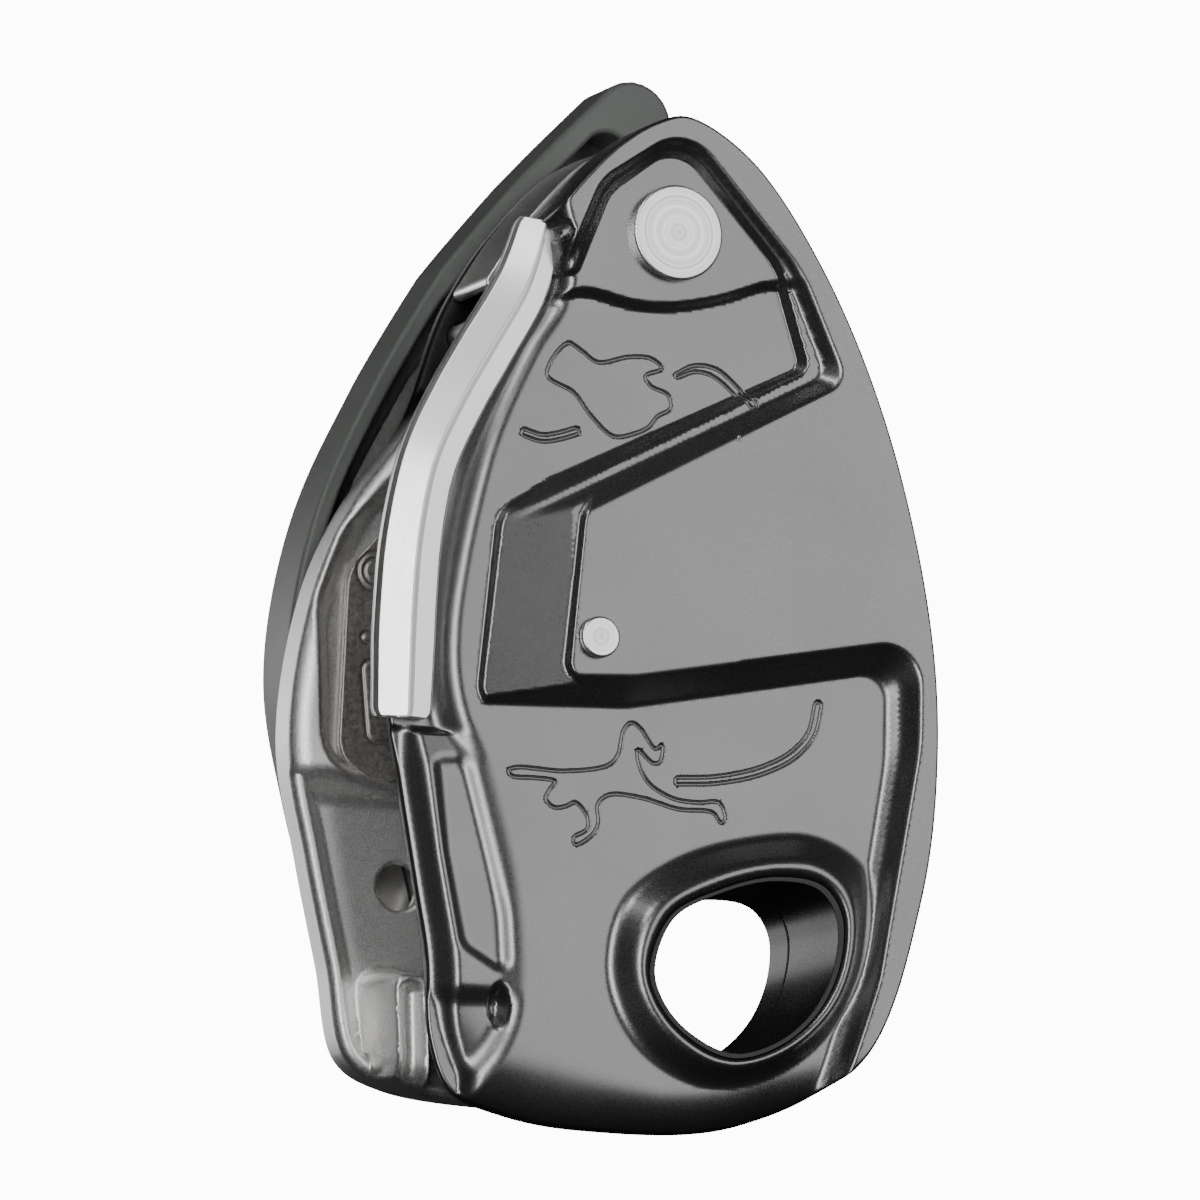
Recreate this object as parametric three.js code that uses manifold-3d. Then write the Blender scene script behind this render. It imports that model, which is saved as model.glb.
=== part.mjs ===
// Assisted-braking belay device: two side plates joined by one axle, a cam between them,
// and a folding release handle behind. Millimetres, +Z up, X to the right, Y into the device.
// The origin is the middle of the carabiner eye, half way across the rope channel.
import * as THREE from 'three';
import { mergeVertices } from 'three/addons/utils/BufferGeometryUtils.js';
import Module from 'manifold-3d';

const wasm = await Module();
wasm.setup();

// ---- Driving dimensions -------------------------------------------------------------------
// Levels are places along Y, from the front of the swinging plate to the back of the handle.
const level = {
  rim: -13.0, ramp: -11.6, pad: -10.4, floor: -9.8, collar: -12.6,
  ledge: -7.8, movingBack: -5.8, channelFront: -5.3, channelBack: 4.9,
  fixedFront: 5.2, fixedBack: 7.5, handleFront: 8.1, armBack: 11.1, innerWall: 11.5,
  shellFloor: 15.5, shellBack: 17.5, eyeSplit: 1.8,
};
const pivot = { x: -8.2, z: 85.9 };
const camAxis = { x: -18.0, z: 37.0 };
const foldAxis = { x: -32.4, z: -5.0 };
const knobAxis = { x: 6.0, z: 30.0 };
const axle = { shaft: 4.0, head: 5.65, bore: 4.1, rearHead: 6.0 };
const camShaft = { radius: 4.0, bore: 4.08, flange: 5.4 };
const foldPin = { radius: 2.5, bore: 2.58, head: 4.2 };
const stripRivets = [[-30.8, 72.0], [-39.2, 54.0], [-41.4, 34.0]];
const pinPlaces = [[-18.2, 88.6], [-28.6, 74.8]];
const corePlaces = [[-38.6, 48.0], [-22.6, 78.4]];
const catchRivet = { x: -18.9, z: 37.3, radius: 1.6, head: 2.4 };
const stopPin = { x: camAxis.x + 12.0, z: camAxis.z - 3.0, radius: 1.5 };
const shellWall = 2.2;
const gap = 0.3;

// Outlines are [x, z] places that a smooth curve passes, or [x, z, radius] corners.
const plateEdge = [
  [-7.2, 99.6], [0.8, 95.1], [10.0, 82.8], [18.2, 64.6], [23.6, 42.4], [24.6, 26.0],
  [22.4, 8.7], [14.9, -10.4], [0.8, -18.2], [-18.0, -19.3], [-28.0, -18.0], [-34.6, -15.4],
  [-37.2, -9.5], [-37.9, 0.5], [-39.2, 8.0], [-41.4, 20.7], [-43.0, 31.0], [-43.2, 41.0],
  [-42.2, 50.0], [-40.0, 59.0], [-35.8, 67.7], [-32.7, 73.4], [-28.2, 81.2], [-23.2, 88.2],
  [-16.4, 95.4], [-11.0, 98.8],
];
const fixedEdge = [
  [-7.2, 98.4], [0.4, 94.2], [9.4, 82.2], [17.4, 64.2], [22.6, 42.4], [23.6, 26.0],
  [21.4, 8.7], [14.0, -8.6], [0.8, -15.8], [-18.0, -16.0], [-38.0, -14.2], [-43.6, -11.0],
  [-46.0, 0.0], [-48.6, 12.0], [-51.0, 26.0], [-48.4, 42.5], [-43.8, 53.0], [-36.0, 64.0],
  [-30.6, 78.0], [-24.0, 88.0], [-15.6, 96.0],
];
const eyeEdge = [
  [-11.3, -0.7], [-8.9, 5.2], [-3.2, 8.3], [3.7, 10.1], [9.4, 9.4], [11.7, 6.3], [11.5, 0.9],
  [8.9, -4.5], [4.2, -8.5], [-1.6, -10.1], [-7.1, -7.8], [-10.3, -4.3],
];
// Each pocket has one outline on its floor and a wider one where its walls meet the rim.
const upperPocket = {
  floor: [[-7.9, 96.6, 4.5], [4.7, 82.8, 10], [8.2, 71.3, 1.6], [-60.0, 39.0, 2],
    [-60.0, 78.5, 2], [-20.6, 80.0, 1.5], [-16.4, 90.2, 6]],
  rim: [[-7.6, 98.5, 5.5], [7.2, 82.2, 15], [13.0, 69.4, 2.6], [-60.0, 30.7, 2],
    [-60.0, 80.5, 2], [-23.2, 80.6, 1.5], [-18.4, 91.4, 6]],
};
const lowerPocket = {
  floor: [[-14.0, 29.9, 15], [19.2, 36.0, 3], [19.0, 25.0, 25], [15.6, -0.5, 18],
    [6.0, -30.0, 2], [-60.0, -30.0, 2], [-60.0, 28.6, 2]],
  rim: [[-14.0, 33.2, 15], [22.4, 39.6, 4.5], [22.2, 27.0, 25], [16.8, -1.0, 18],
    [6.6, -30.0, 2], [-60.0, -31.0, 2], [-60.0, 31.0, 2]],
};
const rampCorners = [[-17.0, 58.0, 1], [-30.4, 51.8, 4], [-33.0, 29.2, 3], [-17.0, 29.0, 1]];
const plateauLeft = [
  [-60.0, -40.0, 1], [-22.9, -40.0, 1], [-22.9, 34.5, 1], [-21.0, 53.0, 1], [-21.0, 82.0, 1],
  [-60.0, 82.0, 1],
];
const stripPath = [[-24.5, 84.2], [-31.3, 70.9], [-38.3, 57.5], [-41.0, 42.0], [-41.6, 30.6]];
const stripWidth = [2.3, 3.4, 3.4, 3.5, 3.3];
const frictionPath = [[-3.0, 96.2], [-14.4, 95.6], [-23.6, 87.4], [-30.4, 77.6], [-35.2, 68.0]];
const handlePath = [[foldAxis.x, foldAxis.z], [-35.1, 7.4], [-38.9, 22.0], [-40.9, 34.7],
  [-37.8, 50.8], [-30.8, 64.9], [-21.9, 79.5], [-11.4, 94.6], [-5.2, 102.9]];
const handleWidth = [7.6, 7.8, 8.0, 8.2, 8.4, 8.8, 8.8, 7.2, 5.0];

// ---- Shape helpers ------------------------------------------------------------------------
// A closed smooth curve through the given places.
function smooth(places, count) {
  const curve = new THREE.CatmullRomCurve3(
    places.map(([x, z]) => new THREE.Vector3(x, z, 0)), true, 'centripetal');
  return curve.getSpacedPoints(count).slice(0, -1).map((p) => new THREE.Vector2(p.x, p.y));
}

// A closed polygon whose corners are true arcs of the radius given with each corner.
function rounded(corners, arcSteps = 5) {
  const points = [];
  corners.forEach(([x, z, radius], index) => {
    const corner = new THREE.Vector2(x, z);
    const before = new THREE.Vector2(...corners.at(index - 1).slice(0, 2)).sub(corner).normalize();
    const after = new THREE.Vector2(...corners[(index + 1) % corners.length].slice(0, 2))
      .sub(corner).normalize();
    const half = Math.acos(THREE.MathUtils.clamp(before.dot(after), -1, 1)) / 2;
    const middle = before.clone().add(after).normalize().multiplyScalar(radius / Math.sin(half))
      .add(corner);
    const start = before.clone().multiplyScalar(radius / Math.tan(half)).add(corner).sub(middle);
    const end = after.clone().multiplyScalar(radius / Math.tan(half)).add(corner).sub(middle);
    const sweep = Math.atan2(start.cross(end), start.dot(end));
    for (let step = 0; step <= arcSteps; step += 1) {
      points.push(start.clone().rotateAround(new THREE.Vector2(), sweep * step / arcSteps)
        .add(middle));
    }
  });
  return points;
}

function circle(x, z, radius, sides) {
  return Array.from({ length: sides }, (_, index) => {
    const angle = 2 * Math.PI * index / sides;
    return new THREE.Vector2(x + radius * Math.cos(angle), z + radius * Math.sin(angle));
  });
}

// A band of the given half widths along a smooth open path, with round ends.
function band(path, halfWidths, steps = 24, capSteps = 6) {
  const curve = new THREE.CatmullRomCurve3(
    path.map(([x, z]) => new THREE.Vector3(x, z, 0)), false, 'centripetal');
  const left = [];
  const right = [];
  for (let step = 0; step <= steps; step += 1) {
    const place = step / steps;
    const centre = curve.getPoint(place);
    const along = curve.getTangent(place);
    const index = Math.min(Math.floor(place * (halfWidths.length - 1)), halfWidths.length - 2);
    const share = place * (halfWidths.length - 1) - index;
    const half = THREE.MathUtils.lerp(halfWidths[index], halfWidths[index + 1], share);
    left.push(new THREE.Vector2(centre.x - along.y * half, centre.y + along.x * half));
    right.push(new THREE.Vector2(centre.x + along.y * half, centre.y - along.x * half));
  }
  const cap = (from, to) => {
    const middle = from.clone().add(to).multiplyScalar(0.5);
    return Array.from({ length: capSteps - 1 }, (_, index) => from.clone()
      .rotateAround(middle, -Math.PI * (index + 1) / capSteps));
  };
  return [...left, ...cap(left.at(-1), right.at(-1)), ...right.reverse(),
    ...cap(right.at(-1), left[0])];
}

// An outline in the XZ plane carried from y = front to y = back.
function prism(points, front, back, holes = []) {
  const clockwise = THREE.ShapeUtils.isClockWise(points);
  const shape = new THREE.Shape(clockwise ? [...points].reverse() : points);
  shape.holes = holes.map((hole) => new THREE.Path(hole));
  const geometry = new THREE.ExtrudeGeometry(shape, { depth: back - front, bevelEnabled: false });
  return geometry.rotateX(Math.PI / 2).translate(0, back, 0);
}

// A pocket cutter, lofted from the outline on the pocket's floor to the one at its rim. Both
// outlines have the same number of corners and run the same way round.
function dish(pocket, floor, face) {
  const low = rounded(pocket.floor, 4);
  const high = rounded(pocket.rim, 4);
  if (THREE.ShapeUtils.isClockWise(low)) [low, high].forEach((loop) => loop.reverse());
  const rings = [[low, floor], [high, face], [high, face - 4]];
  const count = low.length;
  const places = rings.flatMap(([loop, y]) => loop.flatMap((p) => [p.x, y, p.y]));
  const faces = THREE.ShapeUtils.triangulateShape(low, []).flatMap(([a, b, c]) => [a, c, b]);
  THREE.ShapeUtils.triangulateShape(high, [])
    .forEach((face3) => faces.push(...face3.map((index) => index + 2 * count)));
  for (let index = 0; index < 2 * count; index += 1) {
    const next = index % count === count - 1 ? index + 1 - count : index + 1;
    faces.push(index, next, next + count, index, next + count, index + count);
  }
  const geometry = new THREE.BufferGeometry();
  geometry.setAttribute('position', new THREE.Float32BufferAttribute(places, 3));
  geometry.setIndex(faces);
  return geometry;
}

// A body turned about an axis along Y; the profile is [radius, y] pairs.
function turned(profile, axis, sides = 32) {
  const points = profile.map(([radius, y]) => new THREE.Vector2(radius, y));
  return new THREE.LatheGeometry(points, sides).translate(axis.x, 0, axis.z);
}

function ring(axis, inner, outer, front, back, sides = 32) {
  return turned([[inner, front], [outer, front], [outer, back], [inner, back], [inner, front]],
    axis, sides);
}

function solid(geometry) {
  const bare = geometry.clone();
  bare.deleteAttribute('normal');
  bare.deleteAttribute('uv');
  const merged = mergeVertices(bare, 1e-4);
  return new wasm.Manifold(new wasm.Mesh({
    numProp: 3,
    vertProperties: new Float32Array(merged.attributes.position.array),
    triVerts: new Uint32Array(merged.index.array),
  }));
}

function surface(manifold) {
  const mesh = manifold.getMesh();
  const geometry = new THREE.BufferGeometry();
  geometry.setAttribute('position', new THREE.BufferAttribute(mesh.vertProperties, 3));
  geometry.setIndex(new THREE.BufferAttribute(mesh.triVerts, 1));
  geometry.computeVertexNormals();
  return geometry;
}

function joined(geometries) {
  return geometries.map(solid).reduce((sum, next) => sum.add(next));
}

function cut(base, cutters) {
  return cutters.map(solid).reduce((sum, next) => sum.subtract(next), base);
}

// ---- Materials and the assembly -----------------------------------------------------------
const finishes = {
  anodised: { color: 0x8f8d8e, roughness: 0.38, metalness: 0.9 },
  polished: { color: 0xe9e7e2, roughness: 0.2, metalness: 1.0 },
  blasted: { color: 0xc4c1ba, roughness: 0.55, metalness: 0.9 },
  steel: { color: 0xb6b4b0, roughness: 0.35, metalness: 1.0 },
  spring: { color: 0x8c8a86, roughness: 0.4, metalness: 1.0 },
  plastic: { color: 0x4b4e4a, roughness: 0.5, metalness: 0.0 },
  dark: { color: 0x2b2a2b, roughness: 0.45, metalness: 0.7 },
};
const device = new THREE.Group();

function add(name, geometry, finish) {
  const mesh = new THREE.Mesh(geometry, new THREE.MeshStandardMaterial(finishes[finish]));
  mesh.name = name;
  device.add(mesh);
}

const plateOutline = smooth(plateEdge, 90);
const fixedOutline = smooth(fixedEdge, 90);
const eyeOutline = smooth(eyeEdge, 48);
const grown = (points, centre, factor) => points.map((p) => p.clone().sub(centre)
  .multiplyScalar(factor).add(centre));
const eyeCentre = new THREE.Vector2(-0.4, 0.2);
const bushOutside = grown(eyeOutline, eyeCentre, 1.10);
const bushHole = grown(eyeOutline, eyeCentre, 1.13);
const eyeBoss = grown(eyeOutline, eyeCentre, 1.30);

// ---- Swinging side ------------------------------------------------------------------------
function movingSidePlate() {
  const stripSeat = band(stripPath, stripWidth.map((half) => half + 0.3));
  let body = solid(prism(plateOutline, level.floor, level.movingBack));
  const raised = solid(prism(plateOutline, level.rim, level.floor + 0.5))
    .subtract(solid(prism(rounded(plateauLeft, 3), level.rim - 1, level.floor + 0.2)));
  body = body.add(raised);
  body = body.add(solid(prism(rounded(rampCorners, 4), level.ramp, level.floor + 0.5)));
  body = cut(body, [
    dish(upperPocket, level.floor, level.rim),
    dish(lowerPocket, level.floor, level.rim),
  ]);
  body = body.add(solid(prism(circle(pivot.x, pivot.z, 7.6, 28), level.pad, level.floor + 0.5)));
  body = body.add(solid(prism(eyeBoss, level.collar, level.eyeSplit)));
  body = cut(body, [
    prism(stripSeat, level.rim - 1, level.ledge + 0.3),
    prism(bushHole, level.rim - 1, level.eyeSplit + 1),
    prism(circle(pivot.x, pivot.z, axle.bore, 32), level.rim - 1, level.movingBack + 1),
    prism(circle(catchRivet.x, catchRivet.z, catchRivet.radius + 0.1, 20), level.rim - 1, 0),
    ...stripRivets.map(([x, z]) => prism(circle(x, z, 0.9, 12), level.rim - 1, 0)),
    prism(rounded([[-21.2, 34.4, 1.5], [-8, 34.8, 2], [14, 38.8, 3], [8, 58, 3], [-14, 52, 3],
      [-21.2, 47, 2]], 3), -11.0, 0),
    prism(rounded([[-37.9, 22.4, 1.5], [-33.0, 22.6, 2], [-28.2, 4.0, 6], [-28.3, -2.2, 1.5],
      [-34.6, 1.0, 2.5], [-36.9, 13.5, 6]], 3), -12, -8.6),
  ]);
  return surface(body);
}

function wearStrip() {
  return surface(joined([
    prism(band(stripPath, stripWidth), -9.2, level.ledge),
    prism(band(stripPath, stripWidth.map((half) => half - 0.8)), -9.9, -9.0),
  ]));
}

// Plain rivets of one size, each its own numbered piece.
function addRivets(name, places, radius, front, back, finish) {
  places.forEach(([x, z], index) => add(`${name}_${index + 1}`, turned(
    [[0, front], [radius, front], [radius, back], [0, back]], { x, z }, 14), finish));
}

// ---- Fixed side ---------------------------------------------------------------------------
function fixedSidePlate() {
  let body = solid(prism(fixedOutline, level.fixedFront, level.fixedBack));
  const lipBand = band([[-37.6, 60.6], [-45.4, 48.0], [-48.2, 26.0], [-45.4, 6.0], [-42.2, -9.0]],
    [1.6, 2.0, 2.4, 2.4, 2.0]);
  body = body.add(solid(prism(lipBand, 1.6, level.fixedFront + 0.5))
    .intersect(solid(prism(fixedOutline, 1.0, level.fixedBack))));
  body = body.add(solid(prism(rounded([[-38, 4, 2], [-33, 4, 2], [-32, -13, 1.5],
    [-37.6, -12.6, 1.5]], 3), -3.4, level.fixedFront + 0.5)));
  body = body.add(solid(prism(eyeBoss, level.eyeSplit + gap, level.fixedBack)));
  body = cut(body, [
    prism(bushHole, 0, level.fixedBack + 1),
    prism(circle(pivot.x, pivot.z, axle.shaft + 0.1, 32), 0, level.fixedBack + 1),
    prism(circle(pivot.x, pivot.z, axle.rearHead + 0.2, 32), 5.8, level.fixedBack + 1),
    prism(circle(camAxis.x, camAxis.z, 5.7, 32), 0, level.fixedBack + 1),
    prism(circle(knobAxis.x, knobAxis.z, 3.1, 24), 0, level.fixedBack + 1),
    prism(circle(knobAxis.x, knobAxis.z + 6, 1.1, 14), 0, level.fixedBack + 1),
    ...pinPlaces.map(([x, z]) => prism(circle(x, z, 1.6, 16), 0, level.fixedBack + 1)),
    prism(circle(stopPin.x, stopPin.z, stopPin.radius + 0.1, 16), 0, level.fixedBack + 1),
    prism(circle(-36.2, 9.5, 2.8, 20), 0, level.fixedBack + 1),
  ]);
  return surface(body);
}

// ---- Cam, with its shaft through the fixed plate ------------------------------------------
function cam() {
  const core = rounded([[-28.5, 53.0, 5], [-13.0, 51.0, 9], [-3.0, 38.0, 9], [-9.0, 24.0, 9],
    [-27.0, 24.5, 9], [-31.5, 40.0, 9]], 5);
  const flange = rounded([[-30.5, 56.0, 5], [-11.0, 54.0, 9], [-1.0, 38.5, 9],
    [-7.5, 21.0, 9], [-28.5, 21.5, 9], [-34.0, 41.0, 9]], 5);
  const body = joined([
    prism(core, -4.9, 3.5),
    prism(flange, 2.9, 4.5),
  ]);
  const slotPath = Array.from({ length: 7 }, (_, index) => {
    const angle = Math.atan2(-3, 12) + THREE.MathUtils.degToRad(-7 + 42 * index / 6);
    return [camAxis.x + 12.37 * Math.cos(angle), camAxis.z + 12.37 * Math.sin(angle)];
  });
  return surface(cut(body, [
    prism(circle(camAxis.x, camAxis.z, camShaft.bore, 32), -8, 8),
    prism(circle(camAxis.x, camAxis.z, 8.6, 32), 0.6, 8),
    prism(circle(camAxis.x, camAxis.z, camShaft.flange + 0.2, 32), -8, -4.3),
    prism(band(slotPath, [1.8, 1.8, 1.8, 1.8, 1.8, 1.8, 1.8]), 0.4, 8),
  ]));
}

function springCoil(axis, radius, wire, front, turns, pitch) {
  const steps = Math.round(turns * 16);
  const places = Array.from({ length: steps + 1 }, (_, index) => {
    const angle = 2 * Math.PI * index / 16;
    return new THREE.Vector3(axis.x + radius * Math.cos(angle),
      front + pitch * index / 16, axis.z + radius * Math.sin(angle));
  });
  const section = new THREE.Shape(circle(0, 0, wire, 6));
  return new THREE.ExtrudeGeometry(section, {
    steps, extrudePath: new THREE.CatmullRomCurve3(places), bevelEnabled: false,
  });
}

// ---- Handle group -------------------------------------------------------------------------
function handleHub() {
  const arm = band([[camAxis.x, camAxis.z], [-24.6, 17.0], [foldAxis.x, foldAxis.z]],
    [8.0, 4.6, 4.6], 12);
  const body = joined([
    prism(circle(camAxis.x, camAxis.z, 11.6, 40), level.handleFront, 12.2),
    prism(arm, level.handleFront, level.armBack),
  ]);
  return surface(cut(body, [
    prism(circle(camAxis.x, camAxis.z, camShaft.bore, 32), 0, 20),
    prism(circle(camAxis.x, camAxis.z, 9.2, 32), 10.2, 20),
    prism(circle(foldAxis.x, foldAxis.z, foldPin.bore, 24), 0, 20),
  ]));
}

function handleShell() {
  const outer = band(handlePath, handleWidth, 40, 10);
  const hollow = band([...handlePath.slice(0, -1), [-8.6, 98.6]],
    handleWidth.map((half) => half - shellWall), 40, 10);
  const armSweep = rounded([[-37.6, -5.0, 1], [-40.2, 12.0, 3], [-42.0, 34.0, 3], [-39.0, 52.0, 3],
    [-10.0, 57.0, 3], [30.0, 30.0, 3], [30.0, -40.0, 3], [-30.0, -40.0, 3]], 3);
  const boss = ring(foldAxis, foldPin.bore, 4.8, 13.9, level.shellFloor + 0.4, 24);
  const body = cut(solid(prism(outer, level.handleFront, level.shellBack)), [
    prism(hollow, level.handleFront - 1, level.shellFloor),
    prism(armSweep, level.handleFront - 1, level.innerWall + 0.2),
  ]).add(solid(boss));
  return surface(cut(body, [prism(circle(foldAxis.x, foldAxis.z, foldPin.bore, 24), 0, 30)]));
}

function handleCore() {
  const strip = band(handlePath.slice(0, -1), handleWidth.map((half) => half - 4.6), 24);
  return surface(cut(solid(prism(strip, 12.1, 13.5)), [
    prism(circle(foldAxis.x, foldAxis.z, foldPin.bore, 24), 0, 20),
    ...corePlaces.map(([x, z]) => prism(circle(x, z, 1.3, 14), 0, 20)),
  ]));
}

// ---- Selector -----------------------------------------------------------------------------
function selectorKnob() {
  const disc = turned([[0, 8.1], [8.2, 8.1], [8.5, 8.6], [8.5, 11.4], [7.9, 12.2], [0, 12.2]],
    knobAxis, 40);
  const bar = prism(rounded([[-1.9, 22.4, 1.8], [1.9, 22.4, 1.8], [1.9, 37.6, 1.8],
    [-1.9, 37.6, 1.8]].map(([x, z, r]) => [x + knobAxis.x, z, r]), 4), 11.8, 14.6);
  return surface(cut(joined([disc, bar]), [
    prism(circle(knobAxis.x, knobAxis.z, 3.1, 24), 0, 10.4),
    prism(circle(knobAxis.x, knobAxis.z, 1.3, 16), 0, 20),
  ]));
}

// ---- The named pieces ---------------------------------------------------------------------
add('moving_side_plate', movingSidePlate(), 'anodised');
add('wear_strip', wearStrip(), 'polished');
addRivets('strip_rivet', stripRivets, 0.8, -7.4, -6.0, 'steel');
add('front_eye_bush', prism(bushOutside, -12.3, level.eyeSplit, [eyeOutline]), 'dark');
add('catch_plate', prism(rounded([[-20.8, 34.9, 1.5], [-10, 35.3, 2], [-8, 50, 3],
  [-20.8, 45, 2]], 3), -10.7, -8.7,
  [circle(catchRivet.x, catchRivet.z, catchRivet.radius + 0.1, 20)]), 'steel');
add('catch_rivet', turned([[0, -13.9], [2.15, -13.9], [catchRivet.head, -13.6],
  [catchRivet.head, -13.05], [catchRivet.radius, -13.05], [catchRivet.radius, -5.95],
  [0, -5.95]], catchRivet, 28), 'polished');

add('fixed_side_plate', fixedSidePlate(), 'blasted');
add('rear_eye_bush', prism(bushOutside, level.eyeSplit + gap, level.fixedBack, [eyeOutline]),
  'dark');
add('side_panel', prism(rounded([[-36.6, 54.0, 2], [-33.6, 44.0, 2], [-36.4, 19.0, 3],
  [-44.2, 25.0, 4], [-42.0, 46.0, 6]], 4), 4.2, 4.95), 'blasted');
add('hinge_barrel', ring(pivot, axle.bore, 8.4, level.channelFront, level.channelBack, 36),
  'steel');
add('axle_washer', ring(pivot, axle.bore, 7.0, -5.65, -5.4, 32), 'polished');
add('side_plate_axle', turned([[0, -11.9], [5.2, -11.9], [axle.head, -11.45],
  [axle.head, -10.5], [axle.shaft, -10.5], [axle.shaft, 5.9], [axle.rearHead, 5.9],
  [axle.rearHead, 7.3], [0, 7.3]], pivot, 40), 'polished');
add('friction_plate', prism(band(frictionPath, [0.8, 0.8, 0.8, 0.8, 0.8], 24, 4),
  level.channelFront, level.channelBack), 'polished');
addRivets('friction_pin', pinPlaces, 1.5, level.channelFront, 7.3, 'steel');
add('cam_bearing', ring(camAxis, camShaft.bore, 5.6, 4.7, 7.9, 32), 'dark');
add('cam_stop_pin', turned([[0, 1.0], [stopPin.radius, 1.0], [stopPin.radius, 7.4], [0, 7.4]],
  stopPin, 16), 'steel');

add('cam', cam(), 'steel');
add('cam_shaft', turned([[0, -5.2], [camShaft.flange, -5.2], [camShaft.flange, -4.4],
  [camShaft.radius, -4.4], [camShaft.radius, 13.0], [3.0, 13.0], [3.0, 15.6], [0, 15.6]],
  camAxis, 36), 'polished');
add('cam_return_spring', springCoil(camAxis, 6.8, 0.45, 1.4, 2.25, 1.15), 'spring');
add('clutch_plate', prism(circle(camAxis.x, camAxis.z, 8.6, 36), 10.6, 11.8,
  [circle(camAxis.x, camAxis.z, camShaft.bore, 32)]), 'steel');
add('shaft_nut', prism(circle(camAxis.x, camAxis.z, 5.6, 6), 13.2, 15.4,
  [circle(camAxis.x, camAxis.z, 3.08, 28)]), 'steel');

add('handle_hub', handleHub(), 'steel');
add('clutch_spring', ring(camAxis, camShaft.bore + 0.4, 8.0, 12.1, 12.9, 32), 'spring');
add('fold_pin', turned([[0, 8.2], [foldPin.radius, 8.2], [foldPin.radius, 17.7],
  [foldPin.head, 17.7], [foldPin.head, 18.4], [3.6, 18.9], [0, 18.9]], foldAxis, 28), 'polished');
add('fold_washer', ring(foldAxis, foldPin.bore, 4.4, 11.3, 11.9, 24), 'polished');
add('handle_shell', handleShell(), 'plastic');
add('handle_core', handleCore(), 'steel');
addRivets('core_rivet', corePlaces, 1.2, 11.9, 15.3, 'steel');

add('selector_knob', selectorKnob(), 'plastic');
add('selector_shaft', turned([[0, 3.4], [4.6, 3.4], [4.6, 4.6], [3.0, 4.6], [3.0, 10.2],
  [0, 10.2]], knobAxis, 28), 'steel');
add('selector_screw', turned([[0, 10.5], [1.2, 10.5], [1.2, 14.9], [1.75, 14.9], [1.6, 15.6],
  [0, 15.6]], knobAxis, 20), 'steel');
add('detent_ball', new THREE.SphereGeometry(0.9, 14, 10)
  .translate(knobAxis.x, 6.9, knobAxis.z + 6), 'polished');
add('detent_leaf', prism(rounded([[3.6, 35.2, 1], [8.4, 35.2, 1], [8.4, 45, 1], [3.6, 45, 1]], 3),
  4.5, 5.0), 'spring');

export default device;
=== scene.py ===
import bmesh
import bpy
import numpy as np
from mathutils import Matrix, Vector
from mathutils.geometry import delaunay_2d_cdt


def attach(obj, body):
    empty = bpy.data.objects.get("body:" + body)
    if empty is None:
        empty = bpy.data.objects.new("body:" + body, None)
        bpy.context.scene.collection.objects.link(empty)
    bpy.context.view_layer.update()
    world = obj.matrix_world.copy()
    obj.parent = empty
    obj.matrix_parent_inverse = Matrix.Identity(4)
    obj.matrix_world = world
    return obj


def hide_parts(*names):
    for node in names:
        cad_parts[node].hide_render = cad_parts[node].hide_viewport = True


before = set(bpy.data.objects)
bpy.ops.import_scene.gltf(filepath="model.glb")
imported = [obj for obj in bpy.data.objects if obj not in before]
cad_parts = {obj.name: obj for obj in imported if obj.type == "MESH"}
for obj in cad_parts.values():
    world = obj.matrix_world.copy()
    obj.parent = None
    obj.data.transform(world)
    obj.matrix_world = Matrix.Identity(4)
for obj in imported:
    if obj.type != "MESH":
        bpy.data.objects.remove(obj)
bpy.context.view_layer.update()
scene = bpy.context.scene

# Places in the shapes below are millimetres in the frame's own directions.
mm = 0.001


# Nodes.

# Gives a node's inputs their values, or joins on the outputs of other nodes.
def setInputs(node, inputs):
    for name, value in inputs.items():
        if isinstance(value, bpy.types.NodeSocket):
            node.id_data.links.new(value, node.inputs[name])
        else:
            node.inputs[name].default_value = value


def addNode(tree, kind, inputs, **settings):
    node = tree.nodes.new("ShaderNode" + kind)
    for name, value in settings.items():
        setattr(node, name, value)
    setInputs(node, inputs)
    return node.outputs


def startMaterial(name, look):
    material = bpy.data.materials.new(name)
    material.use_nodes = True
    shader = material.node_tree.nodes["Principled BSDF"]
    setInputs(shader, {"Base Color": (*look["colour"], 1), "Roughness": look["roughness"],
                       "Metallic": look["metallic"]})
    return material, shader


# Camera, light and floor.

cameraLook = {"lens": 311.0, "distance": 1200.0, "right": (0.9171, -0.3987, 0.0),
              "up": (-0.0596, -0.1371, 0.9888), "aimRight": -17.0, "aimUp": 42.4,
              "from": (0.0, -12.6, 0.0), "clip": (0.05, 40.0)}


def addCamera(look):
    right, up = Vector(look["right"]).normalized(), Vector(look["up"]).normalized()
    back = right.cross(up)
    aim = Vector(look["from"]) + right * look["aimRight"] + up * look["aimUp"]
    data = bpy.data.cameras.new("camera")
    data.lens = look["lens"]
    data.clip_start, data.clip_end = look["clip"]
    camera = bpy.data.objects.new("camera", data)
    scene.collection.objects.link(camera)
    turned = Matrix((right, up, back)).transposed().to_4x4()
    camera.matrix_world = Matrix.Translation((aim + back * look["distance"]) * mm) @ turned
    scene.camera = camera


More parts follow.
